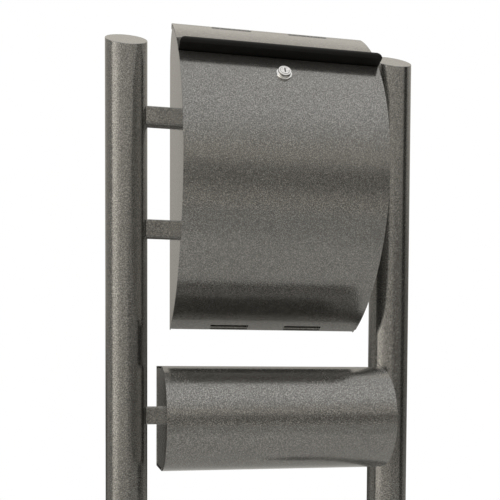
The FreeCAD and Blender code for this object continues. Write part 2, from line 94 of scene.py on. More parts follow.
class Bench:
    """Adds nodes to one shader tree and joins them."""

    def __init__(self, tree: bpy.types.NodeTree) -> None:
        """Work on this tree."""
        self.tree = tree

    def add(self, kind: str, values: dict[str, float | Sequence[float]] | None = None,
            **settings: str) -> bpy.types.Node:
        """Add a node.

        Args:
            kind: the node's type, without the ShaderNode prefix.
            values: numbers for its input sockets, by socket name.
            settings: the node's own properties.

        Returns:
            The new node.
        """
        node = self.tree.nodes.new("ShaderNode" + kind)
        for name, value in settings.items():
            setattr(node, name, value)
        for name, value in (values or {}).items():
            node.inputs[name].default_value = value
        return node

    def join(self, source: Socket, target: Socket) -> None:
        """Join an output socket to an input socket."""
        self.tree.links.new(source, target)

    def maths(self, operation: str, first: Socket | float, second: Socket | float = 0.0) -> Socket:
        """Do sums on two values.

        Args:
            operation: the Math node's operation.
            first: a socket or a number.
            second: a socket or a number.

        Returns:
            The result socket.
        """
        node = self.add("Math", operation=operation)
        for slot, value in zip(node.inputs, (first, second)):
            if isinstance(value, Socket):
                self.join(value, slot)
            else:
                slot.default_value = value
        return node.outputs[0]

    def spread(self, value: Socket, low: float, high: float,
               to_low: float = 0.0, to_high: float = 1.0) -> Socket:
        """Stretch a value from one range to another, clamped.

        Args:
            value: the value's socket.
            low: start of the range it comes from.
            high: end of that range.
            to_low: what low becomes.
            to_high: what high becomes.

        Returns:
            The result socket.
        """
        node = self.add("MapRange", {"From Min": low, "From Max": high, "To Min": to_low, "To Max": to_high},
                        interpolation_type="SMOOTHSTEP")
        self.join(value, node.inputs["Value"])
        return node.outputs["Result"]

    def noise(self, place: Socket, scale: float | Socket, detail: float = 2.0,
              distortion: float = 0.0) -> Socket:
        """Add a noise pattern.

        Args:
            place: the coordinates' socket.
            scale: features per metre, a number or a socket.
            detail: octaves.
            distortion: how far the pattern is bent by itself.

        Returns:
            The noise's value socket.
        """
        node = self.add("TexNoise", {"Detail": detail, "Distortion": distortion})
        self.join(place, node.inputs["Vector"])
        if isinstance(scale, Socket):
            self.join(scale, node.inputs["Scale"])
        else:
            node.inputs["Scale"].default_value = scale
        return node.outputs["Fac"]

    def blend(self, amount: Socket, first: Socket | Colour, second: Socket | Colour) -> Socket:
        """Mix two colours.

        Args:
            amount: how much of the second colour, a socket.
            first: a socket or a colour.
            second: a socket or a colour.

        Returns:
            The mixed colour's socket.
        """
        node = self.add("Mix", data_type="RGBA")
        self.join(amount, node.inputs["Factor"])
        for slot, value in ((node.inputs["A"], first), (node.inputs["B"], second)):
            target = [s for s in node.inputs if s.name == slot.name and s.type == "RGBA"][0]
            if isinstance(value, Socket):
                self.join(value, target)
            else:
                target.default_value = (*value, 1.0)
        return [s for s in node.outputs if s.type == "RGBA"][0]


class EffectGroup:
    """A shader node group that more than one finish uses, built once."""

    def __init__(self, name: str, inputs: Sequence[tuple[str, str, float]], outputs: Sequence[str]) -> None:
        """Make the group's sockets.

        Args:
            name: the group's name.
            inputs: name, kind ("Vector" or "Float") and default of each input.
            outputs: names of the value outputs.
        """
        self.tree = bpy.data.node_groups.new(name, "ShaderNodeTree")
        for label, kind, default in inputs:
            socket = self.tree.interface.new_socket(label, in_out="INPUT", socket_type="NodeSocket" + kind)
            if kind == "Float":
                socket.default_value = default
        for label in outputs:
            self.tree.interface.new_socket(label, in_out="OUTPUT", socket_type="NodeSocketFloat")
        self.bench = Bench(self.tree)
        self.source = self.tree.nodes.new("NodeGroupInput")
        self.sink = self.tree.nodes.new("NodeGroupOutput")

    def use(self, bench: Bench, place: Socket, **values: float) -> bpy.types.Node:
        """Put the group in a material.

        Args:
            bench: the material's bench.
            place: the coordinates' socket.
            values: this material's own values for the float inputs.

        Returns:
            The group node.
        """
        node = bench.tree.nodes.new("ShaderNodeGroup")
        node.node_tree = self.tree
        bench.join(place, node.inputs["Place"])
        for name, value in values.items():
            node.inputs[name].default_value = value
        return node


class HammerGrain(EffectGroup):
    """Small rounded islands of enamel with paler veins, as hammered paint dries."""

    BEND_SCALE = 0.8       # bends per cell
    ISLAND_SOFT = 0.6
    ISLAND_SINK = -0.7     # how an island falls away from its middle
    RIDGE_WIDTH = 0.11     # share of a cell that its edge ridge takes
    RIDGE_SHARE = 0.4      # how pale a ridge is beside a speck
    GRIT_SCALE = 1.7       # specks per cell
    GRIT_TWIST = 0.7
    GRIT_LIFT = 0.5
    SPECK: Span = (0.46, 0.62)
    CLOUD_SCALE = 9.0
    CLOUD: Span = (0.35, 0.65)

    def __init__(self) -> None:
        """Build the group: Height for the relief, Vein and Cloud for the colour."""
        super().__init__("hammer_grain",
                         [("Place", "Vector", 0.0), ("Cells", "Float", 300.0), ("Warp", "Float", 0.0016)],
                         ["Height", "Vein", "Cloud"])
        b = self.bench
        place, cells, warp = (self.source.outputs[n] for n in ("Place", "Cells", "Warp"))
        bend = b.add("TexNoise", {"Detail": 1.0})
        b.join(place, bend.inputs["Vector"])
        b.join(b.maths("MULTIPLY", cells, self.BEND_SCALE), bend.inputs["Scale"])
        centred = b.add("VectorMath", operation="SUBTRACT")
        b.join(bend.outputs["Color"], centred.inputs[0])
        centred.inputs[1].default_value = (0.5, 0.5, 0.5)
        shift = b.add("VectorMath", operation="SCALE")
        b.join(centred.outputs[0], shift.inputs[0])
        b.join(warp, shift.inputs["Scale"])
        bent = b.add("VectorMath", operation="ADD")
        b.join(place, bent.inputs[0])
        b.join(shift.outputs[0], bent.inputs[1])
        island = b.add("TexVoronoi", {"Smoothness": self.ISLAND_SOFT}, feature="SMOOTH_F1")
        edge = b.add("TexVoronoi", feature="DISTANCE_TO_EDGE")
        for node in (island, edge):
            b.join(bent.outputs[0], node.inputs["Vector"])
            b.join(cells, node.inputs["Scale"])
        ridge = b.spread(edge.outputs["Distance"], 0.0, self.RIDGE_WIDTH, 1.0, 0.0)
        grit = b.noise(bent.outputs[0], b.maths("MULTIPLY", cells, self.GRIT_SCALE), 1.0, self.GRIT_TWIST)
        speck = b.spread(grit, *self.SPECK)
        sunk = b.maths("MULTIPLY", island.outputs["Distance"], self.ISLAND_SINK)
        height = b.maths("ADD", sunk, b.maths("MULTIPLY", grit, self.GRIT_LIFT))
        b.join(height, self.sink.inputs["Height"])
        b.join(b.maths("MAXIMUM", b.maths("MULTIPLY", ridge, self.RIDGE_SHARE), speck), self.sink.inputs["Vein"])
        b.join(b.spread(b.noise(place, self.CLOUD_SCALE, 3.0), *self.CLOUD), self.sink.inputs["Cloud"])


class WeatherMarks(EffectGroup):
    """Settled dust on faces that look up, and fine rubbing marks."""

    LOOKS_UP: Span = (0.35, 0.95)      # upward part of the normal: none to full dust
    PATCH_SCALE = 42.0
    PATCH: Span = (0.42, 0.7)
    SPECK_SCALE = 900.0
    SPECK: Span = (0.4, 0.75)
    SPECK_LEAST = 0.4
    RUB_STRETCH = (14.0, 260.0, 190.0)
    RUB_TURN = (0.0, 0.0, 0.25)
    RUB_LINE: Span = (0.66, 0.72)
    RUB_PATCH_SCALE = 16.0
    RUB_PATCH: Span = (0.5, 0.7)

    def __init__(self) -> None:
        """Build the group: Dust and Rub masks."""
        super().__init__("weather_marks", [("Place", "Vector", 0.0), ("Amount", "Float", 0.5)], ["Dust", "Rub"])
        b = self.bench
        place, amount = self.source.outputs["Place"], self.source.outputs["Amount"]
        facing = b.add("NewGeometry")
        split = b.add("SeparateXYZ")
        b.join(facing.outputs["Normal"], split.inputs[0])
        above = b.spread(split.outputs["Z"], *self.LOOKS_UP)
        patch = b.spread(b.noise(place, self.PATCH_SCALE, 5.0, 0.4), *self.PATCH)
        fine = b.spread(b.noise(place, self.SPECK_SCALE, 1.0), *self.SPECK, self.SPECK_LEAST, 1.0)
        dust = b.maths("MULTIPLY", b.maths("MULTIPLY", above, patch), b.maths("MULTIPLY", fine, amount))
        b.join(dust, self.sink.inputs["Dust"])
        stretch = b.add("Mapping", {"Scale": self.RUB_STRETCH, "Rotation": self.RUB_TURN})
        b.join(place, stretch.inputs["Vector"])
        lines = b.spread(b.noise(stretch.outputs[0], 4.0, 2.0), *self.RUB_LINE)
        where = b.spread(b.noise(place, self.RUB_PATCH_SCALE), *self.RUB_PATCH)
        b.join(b.maths("MULTIPLY", b.maths("MULTIPLY", lines, where), amount), self.sink.inputs["Rub"])


@dataclass(frozen=True)
class Finish:
    """What every finish has: a name, a shader with fixed values, and Object coordinates."""

    name: str

    def start(self, **fixed: float) -> tuple[bpy.types.Material, Bench, bpy.types.Node, Socket]:
        """Make a material with an empty Principled shader.

        Args:
            fixed: uniform values for the shader's sockets, spaces written as underscores.

        Returns:
            The material, its bench, its shader and the coordinates' socket.
        """
        material = bpy.data.materials.new(self.name)
        material.use_nodes = True
        material.node_tree.nodes.clear()
        bench = Bench(material.node_tree)
        shader = bench.add("BsdfPrincipled")
        for label, value in fixed.items():
            shader.inputs[label.replace("_", " ")].default_value = value
        bench.join(shader.outputs[0], bench.add("OutputMaterial").inputs[0])
        place = bench.add("TexCoord").outputs["Object"]
        return material, bench, shader, place

    @staticmethod
    def relief(bench: Bench, shader: bpy.types.Node, height: Socket, depth: float) -> None:
        """Feed a height to the shader's normal.

        Args:
            bench: the material's bench.
            shader: the Principled shader.
            height: the height's socket.
            depth: the relief's depth in metres.
        """
        bump = bench.add("Bump", {"Strength": 1.0, "Distance": depth})
        bench.join(height, bump.inputs["Height"])
        bench.join(bump.outputs["Normal"], shader.inputs["Normal"])


@dataclass(frozen=True)
class HammeredPaint(Finish):
    """Warm dark grey hammered enamel under a clear gloss."""

    ground: Colour = (0.110, 0.108, 0.103)
    vein: Colour = (0.375, 0.370, 0.358)
    dust: Colour = (0.42, 0.40, 0.36)
    cells: float = 540.0
    warp: float = 0.0009
    depth: float = 0.00008
    metallic: float = 0.82
    gloss: float = 1.0
    gloss_roughness: float = 0.11
    gloss_ior: float = 1.45
    shadow: Colour = (0.10, 0.10, 0.095)
    shadow_share: float = 0.10
    roughness: Span = (0.16, 0.23)
    dust_amount: float = 0.35
    dust_share: float = 0.5
    dust_dulls: float = 0.35
    rub_dulls: float = 0.18

    def make(self, grain: HammerGrain, marks: WeatherMarks) -> bpy.types.Material:
        """Make the material.

        Args:
            grain: the hammered pattern.
            marks: dust and rubbing.

        Returns:
            The material.
        """
        material, b, shader, place = self.start(Metallic=self.metallic, Coat_Weight=self.gloss,
                                                Coat_Roughness=self.gloss_roughness, Coat_IOR=self.gloss_ior)
        pattern = grain.use(b, place, Cells=self.cells, Warp=self.warp)
        wear = marks.use(b, place, Amount=self.dust_amount)
        colour = b.blend(pattern.outputs["Vein"], self.ground, self.vein)
        cloud = b.spread(pattern.outputs["Cloud"], 0.0, 1.0, 0.0, self.shadow_share)
        shade = b.blend(cloud, colour, self.shadow)
        dusty = b.blend(b.maths("MULTIPLY", wear.outputs["Dust"], self.dust_share), shade, self.dust)
        b.join(dusty, shader.inputs["Base Color"])
        rough = b.spread(pattern.outputs["Vein"], 0.0, 1.0, *self.roughness)
        rough = b.maths("ADD", rough, b.maths("MULTIPLY", wear.outputs["Dust"], self.dust_dulls))
        rough = b.maths("ADD", rough, b.maths("MULTIPLY", wear.outputs["Rub"], self.rub_dulls))
        b.join(rough, shader.inputs["Roughness"])
        self.relief(b, shader, pattern.outputs["Height"], self.depth)
        return material


@dataclass(frozen=True)
class MouldedPlastic(Finish):
    """Matt black moulded plastic with a fine spark grain."""

    colour: Colour = (0.004, 0.004, 0.004)
    worn: Colour = (0.010, 0.010, 0.010)
    dust: Colour = (0.3, 0.29, 0.27)
    specular: float = 0.22
    spark_scale: float = 1500.0
    spark_depth: float = 0.00006
    mottle_scale: float = 60.0
    mottle: Span = (0.45, 0.75)
    mottle_share: float = 0.35
    roughness: Span = (0.40, 0.52)
    dust_amount: float = 0.8
    dust_share: float = 0.12
    rub_shines: float = 0.15

    def make(self, marks: WeatherMarks) -> bpy.types.Material:
        """Make the material.

        Args:
            marks: dust and rubbing.

        Returns:
            The material.
        """
        material, b, shader, place = self.start(Specular_IOR_Level=self.specular)
        wear = marks.use(b, place, Amount=self.dust_amount)
        spark = b.noise(place, self.spark_scale, 2.0)
        patch = b.spread(b.noise(place, self.mottle_scale, 4.0), *self.mottle, 0.0, self.mottle_share)
        mottled = b.blend(patch, self.colour, self.worn)
        b.join(b.blend(b.maths("MULTIPLY", wear.outputs["Dust"], self.dust_share), mottled, self.dust),
               shader.inputs["Base Color"])
        rubbed = b.maths("MULTIPLY", wear.outputs["Rub"], self.rub_shines)
        b.join(b.maths("SUBTRACT", b.spread(spark, 0.3, 0.7, *self.roughness), rubbed), shader.inputs["Roughness"])
        self.relief(b, shader, spark, self.spark_depth)
        return material


@dataclass(frozen=True)
class PlatedMetal(Finish):
    """Bright plated metal: polished chrome or plain zinc."""

    colour: Colour = (0.80, 0.80, 0.80)
    stain: Colour = (0.55, 0.54, 0.52)
    smooth: float = 0.07
    rough: float = 0.16
    grain: float = 0.00001
    lay: float = 300.0
    patch: Span = (0.35, 0.7)
    stain_share: float = 0.5
    rub_amount: float = 0.9
    rub_dulls: float = 0.12
    grain_finer: float = 5.0

    def make(self, marks: WeatherMarks) -> bpy.types.Material:
        """Make the material.

        Args:
            marks: dust and rubbing.

        Returns:
            The material.
        """
        material, b, shader, place = self.start(Metallic=1.0)
        wear = marks.use(b, place, Amount=self.rub_amount)
        patch = b.spread(b.noise(place, self.lay, 4.0), *self.patch)
        stained = b.blend(b.maths("MULTIPLY", patch, self.stain_share), self.colour, self.stain)
        b.join(stained, shader.inputs["Base Color"])
        base = b.maths("ADD", b.maths("MULTIPLY", patch, self.rough - self.smooth), self.smooth)
        rubbed = b.maths("MULTIPLY", wear.outputs["Rub"], self.rub_dulls)
        b.join(b.maths("ADD", base, rubbed), shader.inputs["Roughness"])
        self.relief(b, shader, b.noise(place, self.lay * self.grain_finer, 2.0), self.grain)
        return material


@dataclass(frozen=True)
class PaleFloor(Finish):
    """Pale studio floor with a painted pool of light: lighter in front of the box, darker further out."""

    # Painted light: colour is the lit middle of the pool, far is the dimmer floor further out, and middle is the
    # pool's centre.
    colour: Colour = (0.84, 0.84, 0.83)
    far: Colour = (0.62, 0.62, 0.61)
    # Distances from the middle where the painted pool of light begins and ends its fall-off.
    light_pool_inner: float = 0.45
    light_pool_outer: float = 1.05
    middle: tuple[float, float, float] = (0.0, -0.55, 0.0)
    specular: float = 0.2
    mottle_scale: float = 5.0
    mottle_share: float = 0.08
    pore_scale: float = 90.0
    roughness: Span = (0.6, 0.7)

    def make(self) -> bpy.types.Material:
        """Make the material: a painted pool of light, pale in the middle, that falls off softly.

        Returns:
            The material.
        """
        material, b, shader, place = self.start(Specular_IOR_Level=self.specular)
        reach = b.add("VectorMath", operation="DISTANCE")
        b.join(place, reach.inputs[0])
        reach.inputs[1].default_value = self.middle
        # Painted pool of light: the floor's colour darkens with distance from the middle.
        away = b.spread(reach.outputs["Value"], self.light_pool_inner, self.light_pool_outer)
        mottle = b.maths("MULTIPLY", b.noise(place, self.mottle_scale, 6.0), self.mottle_share)
        b.join(b.blend(b.maths("SUBTRACT", away, mottle), self.colour, self.far), shader.inputs["Base Color"])
        pores = b.spread(b.noise(place, self.pore_scale, 3.0), 0.3, 0.7, *self.roughness)
        b.join(pores, shader.inputs["Roughness"])
        return material


@dataclass
class Finishes:
    """Every finish on the object, made once."""

    paint: bpy.types.Material = field(init=False)
    plastic: bpy.types.Material = field(init=False)
    chrome: bpy.types.Material = field(init=False)
    zinc: bpy.types.Material = field(init=False)
    floor: bpy.types.Material = field(init=False)

    def __post_init__(self) -> None:
        """Make the shared groups and the materials."""
        grain, marks = HammerGrain(), WeatherMarks()
        self.paint = HammeredPaint("hammered_enamel").make(grain, marks)
        self.plastic = MouldedPlastic("moulded_plastic").make(marks)
        self.chrome = PlatedMetal("chrome_plate").make(marks)
        self.zinc = PlatedMetal("zinc_plate", colour=(0.62, 0.63, 0.65), stain=(0.42, 0.42, 0.42), smooth=0.28,
                                rough=0.45, grain=0.00003, lay=700.0).make(marks)
        self.floor = PaleFloor("studio_floor").make()


# ---- mesh tools ----------------------------------------------------------------------


class Mould:
    """A bmesh that becomes one named piece."""

    EVEN_WEIGHT = 100      # how much more a large face counts in a shared normal

    def __init__(self, name: str) -> None:
        """Start an empty mesh."""
        self.name = name
        self.bm = bmesh.new()

    def everything(self) -> list[Element]:
        """Give all vertices, edges and faces."""
        return [*self.bm.verts, *self.bm.edges, *self.bm.faces]

    def vertex(self, place: Vector) -> Corner:
        """Add one vertex to start from."""
        return bmesh.ops.create_vert(self.bm, co=place)["vert"][0]

    def pull(self, tip: Corner, place: Vector) -> Corner:
        """Draw a straight edge from a vertex.

        Args:
            tip: where the edge starts.
            place: where it ends.

        Returns:
            The vertex at its end.
        """
        made = bmesh.ops.extrude_vert_indiv(self.bm, verts=[tip])["verts"][0]
        made.co = place
        return made

    def turn(self, tip: Corner, centre: Vector, degrees: float, steps: int) -> Corner:
        """Draw an arc about X from a vertex.

        Args:
            tip: where the arc starts.
            centre: a point on its axis.
            degrees: its sweep about +X.
            steps: its number of edges.

        Returns:
            The vertex at its end.
        """
        made = bmesh.ops.spin(self.bm, geom=[tip], cent=centre, axis=ACROSS, dvec=Vector(),
                              angle=math.radians(degrees), steps=steps, use_merge=False)
        return [g for g in made["geom_last"] if isinstance(g, Corner)][0]

    def meet(self, first: Corner, last: Corner) -> bmesh.types.BMFace:
        """Merge the two ends of an outline and fill it.

        Args:
            first: where the outline starts.
            last: where it ends, at the same place.

        Returns:
            The face.
        """
        bmesh.ops.remove_doubles(self.bm, verts=[first, last], dist=SAME)
        return self.fill()

    def fill(self) -> bmesh.types.BMFace:
        """Fill the closed outline that the mesh consists of."""
        return bmesh.ops.contextual_create(self.bm, geom=list(self.bm.edges))["faces"][0]

    def cut(self, place: Vector, normal: Vector, drop_above: bool = False, drop_below: bool = False) -> list[Edge]:
        """Cut the mesh with a plane.

        Args:
            place: a point on the plane.
            normal: the plane's normal.
            drop_above: whether the side that the normal points to goes.
            drop_below: whether the other side goes.

        Returns:
            The edges along the cut.
        """
        made = bmesh.ops.bisect_plane(self.bm, geom=self.everything(), plane_co=place, plane_no=normal,
                                      clear_outer=drop_above, clear_inner=drop_below)
        return [g for g in made["geom_cut"] if isinstance(g, Edge)]

    def block(self, size: Vector, middle: Vector) -> None:
        """Add a box.

        Args:
            size: its lengths along the axes.
            middle: where its middle is.
        """
        made = bmesh.ops.create_cube(self.bm, size=1.0)["verts"]
        bmesh.ops.scale(self.bm, vec=size, verts=made)
        bmesh.ops.translate(self.bm, vec=middle, verts=made)

    def round_off(self, edges: Sequence[Edge], size: float, segments: int) -> None:
        """Bevel some edges round.

        Args:
            edges: the edges.
            size: the bevel's width.
            segments: its number of segments.
        """
        bmesh.ops.bevel(self.bm, geom=list(edges), offset=size, offset_type="OFFSET", segments=segments,
                        affect="EDGES", profile=0.5, material=-1, clamp_overlap=True)

    def slide(self, geometry: Sequence[Element], way: Vector) -> list[Element]:
        """Extrude faces or edges by a vector.

        Args:
            geometry: the faces or edges.
            way: how far and where.

        Returns:
            The new geometry at the far end.
        """
        if isinstance(geometry[0], bmesh.types.BMFace):
            made = bmesh.ops.extrude_face_region(self.bm, geom=geometry)["geom"]
        else:
            made = bmesh.ops.extrude_edge_only(self.bm, edges=geometry)["geom"]
        bmesh.ops.translate(self.bm, vec=way, verts=[g for g in made if isinstance(g, Corner)])
        return made

    def outward(self) -> None:
        """Merge doubles and turn every face outwards."""
        bmesh.ops.remove_doubles(self.bm, verts=self.bm.verts, dist=MERGE)
        bmesh.ops.recalc_face_normals(self.bm, faces=self.bm.faces)

    def face_away(self, centre: Vector) -> None:
        """Turn the faces of an open sheet away from an axis along X.

        Args:
            centre: a point on the axis.
        """
        self.outward()
        self.bm.normal_update()
        tally = 0.0
        for face in self.bm.faces:
            arm = face.calc_center_median() - centre
            arm.x = 0.0
            tally += arm.normalized().dot(face.normal) * face.calc_area()
        if tally < 0:
            bmesh.ops.reverse_faces(self.bm, faces=self.bm.faces)

    def thicken(self, wall: float) -> None:
        """Give an open sheet its thickness, inwards.

        Args:
            wall: the thickness.
        """
        self.bm.normal_update()
        bmesh.ops.solidify(self.bm, geom=list(self.bm.faces), thickness=wall)
        self.bm.normal_update()

    def soften(self, size: float, segments: int = 2, sharper_than: float = 50.0) -> None:
        """Bevel every edge that is sharper than an angle.

        Args:
            size: the bevel's width.
            segments: its number of segments.
            sharper_than: the angle between faces, in degrees, past which an edge is bevelled.
        """
        self.bm.normal_update()
        self.round_off([e for e in self.bm.edges
                        if len(e.link_faces) == 2 and e.calc_face_angle() > math.radians(sharper_than)],
                       size, segments)

    def move(self, matrix: Matrix) -> None:
        """Transform the whole mesh."""
        bmesh.ops.transform(self.bm, matrix=matrix, verts=self.bm.verts)

    def piece(self, material: bpy.types.Material, body: Body, replaces: Sequence[str] = (),
              flat_past: float = 32.0) -> bpy.types.Object:
        """Turn the mesh into a piece.

        Args:
            material: its finish.
            body: the body that it rides on.
            replaces: CAD nodes that it stands for.
            flat_past: edges sharper than this many degrees stay crisp.

        Returns:
            The object.
        """
        self.bm.normal_update()
        for face in self.bm.faces:
            face.smooth = True
        for edge in self.bm.edges:
            edge.smooth = len(edge.link_faces) == 2 and edge.calc_face_angle() < math.radians(flat_past)
        mesh = bpy.data.meshes.new(self.name)
        self.bm.to_mesh(mesh)
        self.bm.free()
        mesh.materials.append(material)
        made = bpy.data.objects.new(self.name, mesh)
        bpy.context.scene.collection.objects.link(made)
        even = made.modifiers.new("even_shading", "WEIGHTED_NORMAL")
        even.keep_sharp = True
        even.weight = self.EVEN_WEIGHT
        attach(made, body.value)
        if replaces:
            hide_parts(*replaces)
        LOG.info("%s: %d faces, rides on %s", self.name, len(mesh.polygons), body.value)
        return made


def aim(place: Vector, direction: Vector) -> Matrix:
    """Stand the Z axis along a direction at a place.

    Args:
        place: where the origin goes.
        direction: where +Z goes; +X stays across.

    Returns:
        The matrix.
    """
    z = direction.normalized()
    y = z.cross(ACROSS)
    turn = Matrix((ACROSS, y, z)).transposed().to_4x4()
    return Matrix.Translation(place) @ turn


def joint_of(name: str) -> dict[str, Any]:
    """Give a joint of the frame by its name."""
    return [j for j in frame["joints"] if j["name"] == name][0]


@dataclass
class Curve:
    """The one arc that door and lid share, seen from the side."""

    radius: float = 0.239
    hinge_radius: float = 0.235
    centre: Vector = field(init=False)

    def __post_init__(self) -> None:
        """Find the arc's centre from the belly of the door and the door's hinge."""
        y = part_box("door_skin")[0].y + self.radius
        hinge = Vector(joint_of("door_hinge")["pos_m"])
        z = hinge.z + math.sqrt(self.hinge_radius ** 2 - (y - hinge.y) ** 2)
        self.centre = Vector((0.0, y, z))

    def point(self, radius: float, degrees: float, x: float = 0.0) -> Vector:
        """Give the point at a radius and an angle above the horizontal.

        Args:
            radius: distance from the centre.
            degrees: 0 is straight to the front, 90 straight up.
            x: the point's place across.

        Returns:
            The point.
        """
        a = math.radians(degrees)
        return Vector((x, self.centre.y - radius * math.cos(a), self.centre.z + radius * math.sin(a)))

    def angle_of(self, place: Vector) -> float:
        """Give the angle of a point, in degrees."""
        return math.degrees(math.atan2(place.z - self.centre.z, self.centre.y - place.y))

    def along(self, length: float) -> float:
        """Give the angle that a length along the arc covers, in degrees."""
        return math.degrees(length / self.radius)


# ---- stand ---------------------------------------------------------------------------


@dataclass
class Stand:
    """Two round posts with slanted closed tops, three square crossbars and foot plates."""

    finishes: Finishes
    wall: float = 0.002
    slant: float = 30.0
    cap: float = 0.002
    cap_room: float = 0.068      # how far below its top a post is drawn for the cap to be cut from
    rim: float = 0.0007
    rim_segments: int = 4
    sides: int = 112
    bar_wall: float = 0.0015
    bar_round: float = 0.0022
    bar_segments: int = 4
    bar_cuts: int = 10

    def build(self) -> None:
        """Build posts, caps, bars and dress the foot plates."""
        for side in ("left", "right"):
            self.post(side)
            self.top(side)
            dress([f"{side}_base_plate"], self.finishes.paint)
        for name in ("upper_crossbar", "lower_crossbar", "holder_crossbar"):
            self.crossbar(name)

    def slant_plane(self, side: str, drop: float) -> tuple[Vector, Vector]:
        """Give a point on a post's slanted plane and its normal.

        Args:
            side: "left" or "right".
            drop: how far below the top surface, square to it.

        Returns:
            The point and the normal.
        """
        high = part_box(f"{side}_post_cap")[1]
        tilt = math.radians(self.slant)
        normal = Vector((0.0, -math.sin(tilt), math.cos(tilt)))
        return Vector((0.0, high.y, high.z)) - normal * drop, normal

    def shaft(self, mould: Mould, side: str, low: float) -> None:
        """Draw the outside of a post as an open tube.

        Args:
            mould: the mesh it goes in.
            side: "left" or "right".
            low: height of its lower end.
        """
        start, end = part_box(f"{side}_post")
        radius = (end.x - start.x) / 2
        middle = Vector(((start.x + end.x) / 2, 0.0, low))
        ring = bmesh.ops.create_circle(mould.bm, radius=radius, segments=self.sides, cap_ends=False)
        bmesh.ops.translate(mould.bm, vec=middle, verts=ring["verts"])
        mould.slide(list(mould.bm.edges), UP * (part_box(f"{side}_post_cap")[1].z + radius - low))

    def post(self, side: str) -> None:
        """Build one tube, cut on the slant.

        Args:
            side: "left" or "right".
        """
        mould = Mould(f"{side}_post_tube")
        self.shaft(mould, side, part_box(f"{side}_post")[0].z)
        mould.outward()
        mould.thicken(self.wall)
        point, normal = self.slant_plane(side, self.cap)
        bmesh.ops.bridge_loops(mould.bm, edges=mould.cut(point, normal, drop_above=True))
        mould.outward()
        mould.piece(self.finishes.paint, Body.STAND, [f"{side}_post"])

    def top(self, side: str) -> None:
        """Build the plate that closes one slanted top, with a soft rim.

        Args:
            side: "left" or "right".
        """
        mould = Mould(f"{side}_post_top")
        self.shaft(mould, side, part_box(f"{side}_post")[1].z - self.cap_room)
        for drop, above in ((0.0, True), (self.cap, False)):
            point, normal = self.slant_plane(side, drop)
            loop = mould.cut(point, normal, drop_above=above, drop_below=not above)
            bmesh.ops.contextual_create(mould.bm, geom=loop)
        mould.outward()
        top = max(mould.bm.faces, key=lambda f: f.normal.z * f.calc_area())
        mould.round_off(top.edges, self.rim, self.rim_segments)
        mould.piece(self.finishes.paint, Body.STAND, [f"{side}_post_cap"])

    def crossbar(self, name: str) -> None:
        """Build one square tube with rounded edges, coped to the posts.

        Args:
            name: its CAD node.
        """
        low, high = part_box(name)
        size = high - low
        mould = Mould(f"{name}_tube")
        mould.block(size, (low + high) / 2)
        ends = [f for f in mould.bm.faces if abs(f.normal.x) > 0.9]
        bmesh.ops.delete(mould.bm, geom=ends, context="FACES")
        long_edges = [e for e in mould.bm.edges if abs(e.verts[0].co.x - e.verts[1].co.x) > size.x / 2]
        mould.round_off(long_edges, self.bar_round, self.bar_segments)
        for i in range(1, self.bar_cuts):
            mould.cut(Vector((0.0, low.y + size.y * i / self.bar_cuts, 0.0)), -FRONT)
        mould.outward()
        mould.thicken(self.bar_wall)
        post_low, post_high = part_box("right_post")
        radius = (post_high.x - post_low.x) / 2
        axis = (post_high.x + post_low.x) / 2
        for vert in mould.bm.verts:
            reach = axis - math.sqrt(radius ** 2 - vert.co.y ** 2)
            vert.co.x = math.copysign(reach, vert.co.x)
        mould.piece(self.finishes.paint, Body.STAND, [name])


def dress(nodes: Sequence[str], material: bpy.types.Material) -> None:
    """Give frame nodes that stay a better material.

    Args:
        nodes: their names.
        material: the finish.
    """
    for name in nodes:
        slots = frame["nodes"][name].material_slots
        for slot in slots:
            slot.material = material
        LOG.info("%s: dressed in %s", name, material.name)


# ---- fixed part of the box -------------------------------------------------------------


